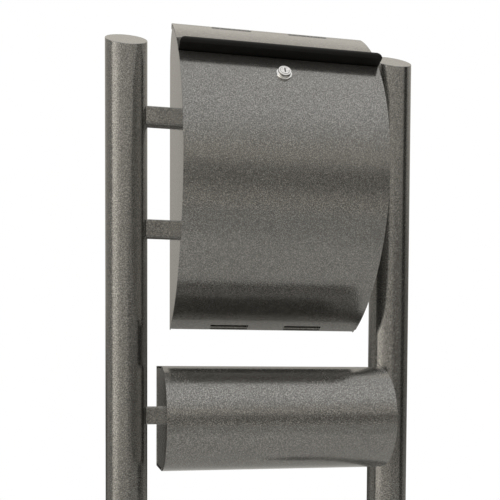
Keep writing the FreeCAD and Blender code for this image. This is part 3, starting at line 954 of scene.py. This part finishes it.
@dataclass
class Box:
    """Side panels, bent back panel and the small fixed parts of the letterbox."""

    finishes: Finishes
    curve: Curve
    sheet: float = 0.0015
    bend: float = 0.045
    edge: float = 0.0003
    front_steps: int = 96
    bend_steps: int = 20

    def build(self) -> None:
        """Build the panels and dress what stays."""
        for side in ("left", "right"):
            self.side_panel(side)
        self.back_panel()
        dress(["front_rail", "lid_hinge_brackets", "door_hinge_brackets"], self.finishes.paint)
        dress(["lid_hinge_pin", "door_hinge_pin", "box_rivet_nuts"], self.finishes.zinc)

    def rear_bend(self) -> tuple[Vector, float, Vector, Vector]:
        """Work out the rear bend from the side panel.

        Returns:
            The bend's centre, its sweep in degrees, the panel's lower corner and its upper corner.
        """
        low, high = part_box("left_side_panel")
        radius = self.curve.centre.y - low.y
        corner = Vector((0.0, high.y, low.z))
        top = Vector((0.0, self.curve.centre.y - math.sqrt(radius ** 2 - (high.z - self.curve.centre.z) ** 2),
                      high.z))
        sweep = math.degrees(math.acos(1 - (high.y - top.y) / self.bend))
        centre = Vector((0.0, high.y - self.bend, high.z - self.bend * math.sin(math.radians(sweep))))
        return centre, sweep, corner, top

    def side_panel(self, side: str) -> None:
        """Build one flat side panel.

        Args:
            side: "left" or "right".
        """
        centre, sweep, corner, top = self.rear_bend()
        low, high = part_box(f"{side}_side_panel")
        mould = Mould(f"{side}_side_sheet")
        first = mould.vertex(Vector((low.x, corner.y, corner.z)))
        tip = mould.pull(first, Vector((low.x, corner.y, centre.z)))
        tip = mould.turn(tip, Vector((low.x, centre.y, centre.z)), sweep, self.bend_steps)
        start = self.curve.angle_of(top)
        end = self.curve.angle_of(corner)
        last = mould.turn(tip, Vector((low.x, self.curve.centre.y, self.curve.centre.z)), start - end,
                          self.front_steps)
        mould.slide([mould.meet(first, last)], ACROSS * (high.x - low.x))
        mould.outward()
        mould.soften(self.edge)
        mould.piece(self.finishes.paint, Body.STAND, [f"{side}_side_panel"])

    def back_panel(self) -> None:
        """Build the back sheet with its forward bend."""
        centre = self.rear_bend()[0]
        low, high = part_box("back_panel")
        mould = Mould("back_sheet")
        tip = mould.pull(mould.vertex(Vector((low.x, high.y, low.z))), Vector((low.x, high.y, centre.z)))
        top_sweep = math.degrees(math.asin(min(1.0, (high.z - centre.z) / self.bend)))
        mould.turn(tip, Vector((low.x, centre.y, centre.z)), top_sweep, self.bend_steps)
        mould.slide(list(mould.bm.edges), ACROSS * (high.x - low.x))
        mould.face_away(Vector((0.0, centre.y - self.bend, centre.z - 4 * self.bend)))
        mould.thicken(self.sheet)
        mould.soften(self.edge)
        mould.piece(self.finishes.paint, Body.STAND, ["back_panel"])


# ---- curved sheets with rolled hinges ------------------------------------------------------


@dataclass
class RolledSheet:
    """A curved sheet whose end is rolled round a hinge pin between cut-outs."""

    curve: Curve
    skin: float = 0.0015
    gap: float = 0.0008
    notch: float = 0.0125
    knuckles: int = 5
    roll: float = 335.0
    roll_steps: int = 26
    edge: float = 0.0002
    roll_slack: float = 0.0001      # how far inside the curve the roll begins
    notch_steps: int = 4
    heel_steps: int = 2

    def spans(self, half: float) -> list[Span]:
        """Give the X ranges of the fixed knuckles, which are cut out of the sheet.

        Args:
            half: half the hinge's width.

        Returns:
            Low and high X of each cut-out.
        """
        pitch = 2 * half / self.knuckles
        return [(-half + i * pitch - self.gap / 2, -half + (i + 1) * pitch + self.gap / 2)
                for i in range(1, self.knuckles, 2)]

    def draw(self, mould: Mould, half: float, hinge_half: float, far: float, hinge: Vector, heel: float,
             steps: int) -> None:
        """Draw the sheet from its free edge to the end of the roll.

        Args:
            mould: the mesh it goes in.
            half: half the sheet's width.
            hinge_half: half the hinge's width.
            far: angle of the free edge.
            hinge: the pin's centre.
            heel: length beside the hinge at which the sheet narrows, 0 for none.
            steps: steps along the curve.
        """
        end = self.curve.angle_of(hinge)
        down = 1.0 if far > end else -1.0
        stops = [end + down * self.curve.along(self.notch), end + down * self.curve.along(heel), end]
        first = mould.vertex(self.curve.point(self.curve.radius, far, -half))
        mould.pull(first, self.curve.point(self.curve.radius, far, half))
        row = list(mould.bm.edges)
        at = far
        for stop, count in zip(stops, (steps, self.notch_steps, self.heel_steps)):
            if abs(at - stop) < MERGE:
                continue
            row = self.sweep(mould, row, self.curve.centre, at - stop, count)
            at = stop
        row = self.sweep(mould, row, hinge, down * self.roll, self.roll_steps)
        breaks = {x for pair in self.spans(hinge_half) for x in pair} | {-hinge_half, hinge_half}
        for x in sorted(breaks):
            if abs(x) < half - MERGE:
                mould.cut(ACROSS * x, ACROSS)
        self.trim(mould, hinge_half, end, down, heel)
        bmesh.ops.remove_doubles(mould.bm, verts=mould.bm.verts, dist=MERGE)

    @staticmethod
    def sweep(mould: Mould, row: list[Edge], centre: Vector, degrees: float, steps: int) -> list[Edge]:
        """Sweep a row of edges about an axis along X.

        Args:
            mould: the mesh.
            row: the edges.
            centre: a point on the axis.
            degrees: the sweep about +X.
            steps: its number of steps.

        Returns:
            The row at the far end.
        """
        made = bmesh.ops.spin(mould.bm, geom=row, cent=centre, axis=ACROSS, dvec=Vector(),
                              angle=math.radians(degrees), steps=steps, use_merge=False)
        return [g for g in made["geom_last"] if isinstance(g, Edge)]

    def trim(self, mould: Mould, hinge_half: float, end: float, down: float, heel: float) -> None:
        """Cut away the sheet at the fixed knuckles and beside the hinge.

        Args:
            mould: the mesh.
            hinge_half: half the hinge's width.
            end: angle of the hinge on the curve.
            down: 1 where the sheet lies above the hinge, -1 below.
            heel: length beside the hinge at which the sheet narrows.
        """
        gone = []
        for face in mould.bm.faces:
            middle = face.calc_center_median()
            from_end = down * math.radians(self.curve.angle_of(middle) - end) * self.curve.radius
            flat = Vector((0.0, middle.y - self.curve.centre.y, middle.z - self.curve.centre.z))
            on_roll = from_end < 0 or flat.length < self.curve.radius - self.roll_slack
            near = on_roll or from_end < self.notch
            beside = abs(middle.x) > hinge_half and (on_roll or from_end < heel)
            inside = any(low < middle.x < high for low, high in self.spans(hinge_half))
            if beside or (near and inside):
                gone.append(face)
        bmesh.ops.delete(mould.bm, geom=gone, context="FACES")


@dataclass
class Lid:
    """Curved lid, rolled round its hinge pin, with a black grip strip along its lower edge."""

    finishes: Finishes
    curve: Curve
    rolled: RolledSheet
    brow: float = 0.005
    chin: float = 0.004
    end_round: float = 0.008
    reach: float = 0.0163
    rise: float = 0.0055
    face_height: float = 0.007
    seam: float = 37.9
    span: float = 0.0325
    lip: float = 0.0037
    sheet_steps: int = 48
    strip_steps: int = 12
    end_cuts: int = 9
    end_rest: float = 0.0002        # what is left of the strip's height at its very ends
    corner_pull: float = 0.72       # bevel width that gives the rounding at the strip's blunt corners
    brow_segments: int = 10
    chin_segments: int = 8

    def build(self) -> None:
        """Build the lid's sheet and its strip."""
        self.sheet()
        self.strip()

    def sheet(self) -> None:
        """Build the lid's curved sheet."""
        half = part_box("lid_sheet")[1].x
        hinge = Vector(joint_of("lid_hinge")["pos_m"])
        mould = Mould("lid_skin")
        foot = self.seam + self.curve.along(self.lip)
        self.rolled.draw(mould, half, half, foot, hinge, 0.0, self.sheet_steps)
        mould.face_away(self.curve.centre)
        mould.thicken(self.rolled.skin)
        mould.soften(self.rolled.edge, 1)
        mould.piece(self.finishes.paint, Body.LID, ["lid_sheet"])

    def strip(self) -> None:
        """Build the grip strip: a round-nosed eave with softened ends."""
        curve = self.curve
        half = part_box("grip_strip")[1].x
        inside = curve.radius - self.rolled.skin
        lip = self.seam + curve.along(self.lip)
        top = self.seam + curve.along(self.span)
        head = curve.point(curve.radius, top, -half)
        foot = curve.point(curve.radius, self.seam, -half)
        chin = foot + FRONT * self.reach + UP * self.rise
        brow = chin + UP * self.face_height
        mould = Mould("grip_eave")
        first = tip = mould.vertex(head)
        for place in (brow, chin, foot, curve.point(inside, self.seam, -half), curve.point(inside, lip, -half),
                      curve.point(curve.radius, lip, -half)):
            tip = mould.pull(tip, place)
        last = mould.turn(tip, Vector((-half, curve.centre.y, curve.centre.z)), lip - top, self.strip_steps)
        mould.slide([mould.meet(first, last)], ACROSS * 2 * half)
        mould.outward()
        for corner, size, count in ((brow, self.brow, self.brow_segments), (chin, self.chin, self.chin_segments)):
            mould.round_off([e for e in mould.bm.edges if all(self.beside(v, corner) for v in e.verts)],
                            size * self.corner_pull, count)
        self.round_ends(mould, half, head, brow, foot)
        mould.piece(self.finishes.plastic, Body.LID, ["grip_strip"], flat_past=40.0)

    @staticmethod
    def beside(vert: Corner, place: Vector) -> bool:
        """Say whether a vertex is straight across from a place."""
        return (vert.co - Vector((vert.co.x, place.y, place.z))).length < SAME

    def round_ends(self, mould: Mould, half: float, head: Vector, brow: Vector, foot: Vector) -> None:
        """Round the strip's top along both ends.

        Args:
            mould: the strip's mesh.
            half: half its length.
            head: its upper corner, on the lid.
            brow: its front upper corner.
            foot: its lower corner, on the lid.
        """
        for i in range(1, self.end_cuts):
            inset = self.end_round * (1 - math.sin(math.radians(90.0 * i / self.end_cuts)))
            for side in (-1, 1):
                mould.cut(ACROSS * side * (half - inset), ACROSS)
        slope = (brow.z - head.z) / (brow.y - head.y)
        centre, radius = self.curve.centre, self.curve.radius
        for vert in mould.bm.verts:
            past = min(abs(vert.co.x) - (half - self.end_round), self.end_round)
            if past <= MERGE:
                continue
            top = head.z + slope * (vert.co.y - head.y) - self.end_round
            top += math.sqrt(self.end_round ** 2 - past ** 2)
            if vert.co.y < foot.y:
                low = foot.z + (foot.y - vert.co.y) * self.rise / self.reach
            else:
                low = centre.z + math.sqrt(radius ** 2 - (vert.co.y - centre.y) ** 2)
            vert.co.z = min(vert.co.z, max(top, low + self.end_rest))


@dataclass
class Door:
    """Curved locking door, rolled round its pin at the foot, with narrow returns."""

    finishes: Finishes
    curve: Curve
    rolled: RolledSheet
    heel: float = 0.004
    side_room: float = 0.0025
    top: float = 37.9
    top_gap: float = 0.0012
    return_wall: float = 0.0012
    return_depth: float = 0.011
    return_start: float = 0.031
    sheet_steps: int = 120
    return_steps: int = 90
    return_top_steps: int = 2

    def build(self) -> None:
        """Build the door's sheet and returns."""
        self.sheet()
        self.returns()

    def sheet(self) -> None:
        """Build the curved sheet."""
        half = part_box("door_skin")[1].x
        hinge = Vector(joint_of("door_hinge")["pos_m"])
        mould = Mould("door_sheet")
        far = self.top - self.curve.along(self.top_gap)
        self.rolled.draw(mould, half, half - self.side_room, far, hinge, self.heel, self.sheet_steps)
        mould.face_away(self.curve.centre)
        mould.thicken(self.rolled.skin)
        mould.soften(self.rolled.edge, 1)
        mould.piece(self.finishes.paint, Body.DOOR, ["door_skin"])

    def returns(self) -> None:
        """Build the narrow stiffening returns at the door's sides and top."""
        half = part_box("door_skin")[1].x - self.side_room
        far = self.top - self.curve.along(self.top_gap)
        hinge = Vector(joint_of("door_hinge")["pos_m"])
        low = self.curve.angle_of(hinge) + self.curve.along(self.return_start)
        outer = self.curve.radius - self.rolled.skin / 2
        inner = self.curve.radius - self.rolled.skin - self.return_depth
        for name, x0, x1, a0, steps in (
                ("door_return_left", -half, -half + self.return_wall, low, self.return_steps),
                ("door_return_right", half - self.return_wall, half, low, self.return_steps),
                ("door_return_top", -half, half, far - self.curve.along(self.return_wall), self.return_top_steps)):
            mould = Mould(name)
            mould.pull(mould.vertex(self.curve.point(outer, a0, x0)), self.curve.point(inner, a0, x0))
            RolledSheet.sweep(mould, list(mould.bm.edges), self.curve.centre, a0 - far, steps)
            mould.slide(list(mould.bm.faces), ACROSS * (x1 - x0))
            mould.outward()
            mould.piece(self.finishes.paint, Body.DOOR)


@dataclass
class Lock:
    """Chrome cam lock: flange, raised drum, threaded body and turning plug."""

    finishes: Finishes
    flange: float = 0.011
    flange_top: float = 0.0016
    drum: float = 0.00875
    drum_top: float = 0.006
    bore: float = 0.00605
    body: float = 0.0095
    body_length: float = 0.019
    thread: float = 0.0004
    pitch: float = 0.0012
    plug: float = 0.006
    plug_top: float = 0.0064
    plug_rear: float = 0.0193
    tail: float = 0.0035
    tail_length: float = 0.002
    key_width: float = 0.0018
    key_height: float = 0.008
    key_depth: float = 0.012
    key_steps: int = 8
    seat: float = 0.0007        # how far the flange reaches below the door's face
    soft: float = 0.0004        # softening of the turned edges
    rim: float = 0.0003
    sides: int = 72
    stand: Matrix = field(init=False)

    def __post_init__(self) -> None:
        """Find where the lock stands and which way it points."""
        joint = joint_of("lock_turn")
        self.stand = aim(Vector(joint["pos_m"]), Vector(joint["axis"]))

    def build(self) -> None:
        """Build housing and plug and dress the cam's parts."""
        self.housing()
        self.core()
        dress(["lock_nut", "lock_cam", "cam_screw"], self.finishes.zinc)

    def lathe(self, mould: Mould, profile: Sequence[Span]) -> None:
        """Turn a profile about the lock's axis.

        Args:
            mould: the mesh it goes in.
            profile: radius and height of each point, closed if it ends where it starts.
        """
        tip = mould.vertex(Vector((profile[0][0], 0.0, profile[0][1])))
        for radius, height in profile[1:]:
            tip = mould.pull(tip, Vector((radius, 0.0, height)))
        bmesh.ops.spin(mould.bm, geom=mould.everything(), cent=Vector(), axis=UP, dvec=Vector(), angle=math.tau,
                       steps=self.sides, use_merge=True)
        mould.outward()

    def housing(self) -> None:
        """Build the flange, the drum and the threaded body."""
        profile = [(self.bore, -self.body_length), (self.body - self.thread, -self.body_length)]
        z = -self.body_length
        while z + self.pitch < -self.seat:
            profile.append((self.body, z + self.pitch / 2))
            profile.append((self.body - self.thread, z + self.pitch))
            z += self.pitch
        soft = self.soft
        profile += [(self.body, -self.seat), (self.flange, -self.seat), (self.flange, self.flange_top - 2 * soft),
                    (self.flange - soft, self.flange_top - soft / 2), (self.flange - 3 * soft, self.flange_top),
                    (self.drum, self.flange_top), (self.drum, self.drum_top - 2 * soft),
                    (self.drum - soft / 2, self.drum_top - soft / 2), (self.drum - 2 * soft, self.drum_top),
                    (self.bore + 2 * soft, self.drum_top), (self.bore + soft, self.drum_top - soft / 2),
                    (self.bore, self.drum_top - 2 * soft), (self.bore, -self.body_length)]
        mould = Mould("lock_barrel")
        self.lathe(mould, profile)
        mould.move(self.stand)
        mould.piece(self.finishes.chrome, Body.DOOR, ["lock_housing"])

    def core(self) -> None:
        """Build the plug with its keyhole and square tail."""
        mould = Mould("lock_core")
        ring = bmesh.ops.create_circle(mould.bm, radius=self.plug, segments=self.sides, cap_ends=False)
        outer = list({e for v in ring["verts"] for e in v.link_edges})
        slot = bmesh.ops.create_grid(mould.bm, x_segments=1, y_segments=self.key_steps, size=0.5)
        bmesh.ops.scale(mould.bm, vec=Vector((self.key_width, self.key_height, 1.0)), verts=slot["verts"])
        faces = list({f for v in slot["verts"] for f in v.link_faces})
        bmesh.ops.delete(mould.bm, geom=faces, context="FACES_ONLY")
        spare = [e for e in mould.bm.edges if not e.link_faces and e not in outer
                 and abs(e.verts[0].co.y - e.verts[1].co.y) < 1e-7 and abs(e.verts[0].co.y) < self.key_height * 0.49]
        bmesh.ops.delete(mould.bm, geom=spare, context="EDGES")
        inner = [e for e in mould.bm.edges if e not in outer]
        bmesh.ops.bridge_loops(mould.bm, edges=outer + inner)
        bmesh.ops.translate(mould.bm, vec=UP * self.plug_top, verts=mould.bm.verts)
        floor = mould.slide(inner, UP * -self.key_depth)
        bmesh.ops.contextual_create(mould.bm, geom=[g for g in floor if isinstance(g, Edge)])
        shell = mould.slide(outer, UP * -(self.plug_top + self.plug_rear))
        bmesh.ops.contextual_create(mould.bm, geom=[g for g in shell if isinstance(g, Edge)])
        mould.outward()
        rim = [e for e in mould.bm.edges
               if all(abs(v.co.z - self.plug_top) < MERGE and v.co.xy.length > self.plug * 0.99 for v in e.verts)]
        mould.round_off(rim, self.rim, 2)
        mould.block(Vector((2 * self.tail, 2 * self.tail, self.tail_length)),
                    UP * -(self.plug_rear + self.tail_length / 2))
        mould.move(self.stand)
        mould.piece(self.finishes.chrome, Body.LOCK, ["lock_plug"])


# ---- newspaper holder ------------------------------------------------------------------------


@dataclass
class NewspaperHolder:
    """Round-fronted tube below the box, closed by a tack-welded plate at its left end."""

    finishes: Finishes
    sheet: float = 0.0015
    gap: float = 0.0015
    inset: float = 0.0008
    tongue: float = 0.009
    bead: float = 0.0019
    steps: int = 96
    edge: float = 0.0003
    bead_out: float = 0.0001
    bead_flat: float = 0.36
    radius: float = field(init=False)
    axis: Vector = field(init=False)
    rear: float = field(init=False)
    ends: Span = field(init=False)

    def __post_init__(self) -> None:
        """Find the tube's axis, radius and ends."""
        low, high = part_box("holder_shell")
        self.radius = (high.z - low.z) / 2
        self.axis = Vector((0.0, low.y + self.radius, (high.z + low.z) / 2))
        self.rear = high.y
        self.ends = (low.x, high.x)

    def build(self) -> None:
        """Build shell, back and end plate and dress the screws."""
        self.shell()
        self.back()
        self.end_plate()
        self.beads()
        dress(["holder_screws", "holder_rivet_nuts", "box_screws"], self.finishes.zinc)

    def outline(self, mould: Mould, x: float, radius: float, rear: float) -> tuple[Corner, Corner]:
        """Draw the D-shaped line from the upper rear round the front to the lower rear.

        Args:
            mould: the mesh it goes in.
            x: the outline's place across.
            radius: radius of the round front.
            rear: Y of both ends.

        Returns:
            The first and the last vertex.
        """
        first = mould.vertex(Vector((x, rear, self.axis.z + radius)))
        tip = mould.pull(first, Vector((x, self.axis.y, self.axis.z + radius)))
        tip = mould.turn(tip, Vector((x, self.axis.y, self.axis.z)), 180.0, self.steps)
        return first, mould.pull(tip, Vector((x, rear, self.axis.z - radius)))

    def shell(self) -> None:
        """Build the rolled sheet."""
        mould = Mould("holder_wrap")
        self.outline(mould, self.ends[0], self.radius, self.rear)
        mould.slide(list(mould.bm.edges), ACROSS * (self.ends[1] - self.ends[0]))
        mould.face_away(self.axis)
        mould.thicken(self.sheet)
        mould.soften(self.edge)
        mould.piece(self.finishes.paint, Body.STAND, ["holder_shell"])

    def back(self) -> None:
        """Build the flat back sheet."""
        low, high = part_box("holder_back")
        mould = Mould("holder_rear_sheet")
        mould.block(high - low, (low + high) / 2)
        mould.soften(self.edge)
        mould.piece(self.finishes.paint, Body.STAND, ["holder_back"])

    def end_plate(self) -> None:
        """Build the end plate and its three tongues."""
        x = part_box("holder_end_plate")[0].x
        mould = Mould("holder_end")
        radius = self.radius - self.sheet - self.gap
        mould.bm.edges.new(self.outline(mould, x, radius, self.rear - self.sheet))
        mould.slide([mould.fill()], ACROSS * self.sheet)
        mould.outward()
        mould.soften(self.edge)
        reach = self.gap + 2 * self.edge
        for way in (UP, -UP, FRONT):
            depth, height = (reach, self.tongue) if way == FRONT else (self.tongue, reach)
            middle = self.axis + way * (self.radius - self.sheet - reach / 2)
            middle.x = x + self.sheet / 2
            mould.block(Vector((self.sheet, depth, height)), middle)
        mould.piece(self.finishes.paint, Body.STAND, ["holder_end_plate"])

    def beads(self) -> None:
        """Build the small weld beads over the tongues."""
        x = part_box("holder_end_plate")[0].x
        for name, way in (("weld_bead_top", UP), ("weld_bead_low", -UP), ("weld_bead_front", FRONT)):
            mould = Mould(name)
            bmesh.ops.create_uvsphere(mould.bm, u_segments=24, v_segments=14, radius=self.bead)
            depth, height = (1.0, 2.0) if way == FRONT else (2.0, 1.0)
            bmesh.ops.scale(mould.bm, vec=Vector((self.bead_flat, depth, height)), verts=mould.bm.verts)
            middle = self.axis + way * (self.radius - self.sheet - self.gap / 2)
            middle.x = x + self.bead_out
            bmesh.ops.translate(mould.bm, vec=middle, verts=mould.bm.verts)
            mould.outward()
            mould.piece(self.finishes.zinc, Body.STAND)


# ---- studio ----------------------------------------------------------------------------------


@dataclass
class Studio:
    """Pale floor with a painted pool of light, soft light all round and the camera."""

    finishes: Finishes
    floor_radius: float = 2.7
    eye: tuple[float, float, float] = (-0.28331, -1.23212, 0.7189)
    yaw: float = -12.19
    pitch: float = -2.32
    roll: float = 0.3
    lens: float = 60.86
    shift: float = 0.30
    floor_sides: int = 96
    warm: Colour = (1.0, 0.95, 0.86)
    cool: Colour = (1.0, 0.985, 0.96)
    cool_height: Span = (0.25, 0.70)
    cool_ahead: Span = (0.10, 0.45)
    ceiling_front: float = 1.02
    ceiling_rear: float = 0.80
    ceiling_ahead: Span = (-0.45, 0.35)
    ceiling_height: Span = (0.50, 0.80)
    gap_depth: float = 0.55
    gap_degrees: Span = (-4.0, 11.0)
    gap_middle: float = 0.02
    gap_height: Span = (0.06, 0.26)
    rear_fall: float = 0.75
    rear_ahead: Span = (0.55, 0.85)
    rear_height: Span = (-0.04, 0.10)
    walls: tuple[Span, ...] = (
        (0.0, 0.52), (0.222, 0.58), (0.261, 0.58), (0.268, 2.4), (0.33, 2.1), (0.375, 1.25), (0.43, 1.0),
        (0.50, 0.96), (0.655, 0.80), (0.675, 0.03), (0.73, 0.03), (0.75, 0.60), (0.845, 0.60), (1.0, 0.52))
    storeys: tuple[Span, ...] = (
        (0.0, 0.60), (0.335, 0.60), (0.56, 0.68), (0.67, 0.77), (0.77, 0.87), (0.86, 0.97), (1.0, 1.02))

    def build(self) -> None:
        """Set floor, light, camera and tone."""
        self.floor()
        self.surround()
        self.camera()
        bpy.context.scene.view_settings.view_transform = "Standard"

    def floor(self) -> None:
        """Lay a round pale floor, whose material paints a pool of light in front of the box."""
        mould = Mould("studio_floor")
        bmesh.ops.create_circle(mould.bm, radius=self.floor_radius, segments=self.floor_sides, cap_ends=True)
        mesh = bpy.data.meshes.new(mould.name)
        mould.bm.to_mesh(mesh)
        mould.bm.free()
        mesh.materials.append(self.finishes.floor)
        made = bpy.data.objects.new(mould.name, mesh)
        bpy.context.scene.collection.objects.link(made)

    def surround(self) -> None:
        """Light the room: bright above and to the left, dim behind, with a narrow dark strip to the right."""
        world = bpy.data.worlds.new("studio")
        bpy.context.scene.world = world
        world.use_nodes = True
        world.node_tree.nodes.clear()
        b = Bench(world.node_tree)
        split = b.add("SeparateXYZ")
        b.join(b.add("TexCoord").outputs["Generated"], split.inputs[0])
        side, ahead, height = split.outputs
        azimuth = b.maths("ARCTAN2", side, b.maths("MULTIPLY", ahead, -1.0))
        round_room = self.ramp(b, b.maths("DIVIDE", b.maths("ADD", azimuth, math.pi), math.tau), self.walls)
        floor_to_top = self.ramp(b, b.maths("DIVIDE", b.maths("ADD", height, 1.0), 2.0), self.storeys)
        from_middle = b.maths("ABSOLUTE", b.maths("SUBTRACT", height, self.gap_middle))
        edges = [math.radians(angle) for angle in self.gap_degrees]
        gap = b.maths("MULTIPLY", b.spread(azimuth, *edges), b.spread(from_middle, *self.gap_height, 1.0, 0.0))
        behind = b.maths("MULTIPLY", b.spread(ahead, *self.rear_ahead), b.spread(height, *self.rear_height, 1.0, 0.0))
        low = b.maths("MULTIPLY", round_room, floor_to_top)
        for mask, share in ((gap, self.gap_depth), (behind, self.rear_fall)):
            low = b.maths("MULTIPLY", low, b.maths("SUBTRACT", 1.0, b.maths("MULTIPLY", mask, share)))
        lift = b.spread(height, *self.ceiling_height)
        ceiling = b.spread(ahead, *self.ceiling_ahead, self.ceiling_front, self.ceiling_rear)
        level = b.maths("ADD", b.maths("MULTIPLY", low, b.maths("SUBTRACT", 1.0, lift)),
                        b.maths("MULTIPLY", ceiling, lift))
        room = b.add("Background")
        fresh = b.maths("MULTIPLY", b.spread(height, *self.cool_height), b.spread(ahead, *self.cool_ahead, 1.0, 0.0))
        b.join(b.blend(fresh, self.warm, self.cool), room.inputs["Color"])
        b.join(level, room.inputs["Strength"])
        paper = b.add("Background", {"Color": (1.0, 1.0, 1.0, 1.0), "Strength": 1.0})
        pick = b.add("MixShader")
        b.join(b.add("LightPath").outputs["Is Camera Ray"], pick.inputs[0])
        b.join(room.outputs[0], pick.inputs[1])
        b.join(paper.outputs[0], pick.inputs[2])
        b.join(pick.outputs[0], b.add("OutputWorld").inputs[0])

    @staticmethod
    def ramp(b: Bench, place: Socket, stops: Sequence[Span]) -> Socket:
        """Give a brightness that follows a line of stops.

        Args:
            b: the world's bench.
            place: where along the line, 0 to 1.
            stops: position and brightness of each stop.

        Returns:
            The brightness socket.
        """
        most = max(value for _, value in stops)
        node = b.add("ValToRGB")
        while len(node.color_ramp.elements) < len(stops):
            node.color_ramp.elements.new(0.5)
        for element, (position, value) in zip(node.color_ramp.elements, stops):
            element.position = position
            element.color = (value / most, value / most, value / most, 1.0)
        b.join(place, node.inputs[0])
        parts = b.add("SeparateColor")
        b.join(node.outputs["Color"], parts.inputs[0])
        return b.maths("MULTIPLY", parts.outputs[0], most)

    def camera(self) -> None:
        """Set up the camera."""
        data = bpy.data.cameras.new("camera")
        data.lens = self.lens
        data.sensor_width = 36.0
        data.shift_y = self.shift
        data.dof.use_dof = False
        made = bpy.data.objects.new("camera", data)
        turn = (Matrix.Rotation(math.radians(self.yaw), 4, "Z")
                @ Matrix.Rotation(math.radians(90.0 + self.pitch), 4, "X")
                @ Matrix.Rotation(math.radians(self.roll), 4, "Z"))
        made.matrix_world = Matrix.Translation(Vector(self.eye)) @ turn
        bpy.context.scene.collection.objects.link(made)
        bpy.context.scene.camera = made


def main() -> None:
    """Build every sub-assembly in order and note the sizes."""
    logging.basicConfig(level=logging.INFO, format="%(name)s: %(message)s")
    finishes = Finishes()
    curve = Curve()
    rolled = RolledSheet(curve)
    Stand(finishes).build()
    Box(finishes, curve).build()
    Lid(finishes, curve, rolled).build()
    Door(finishes, curve, rolled).build()
    Lock(finishes).build()
    NewspaperHolder(finishes).build()
    Studio(finishes).build()


if __name__ == "__main__":
    main()
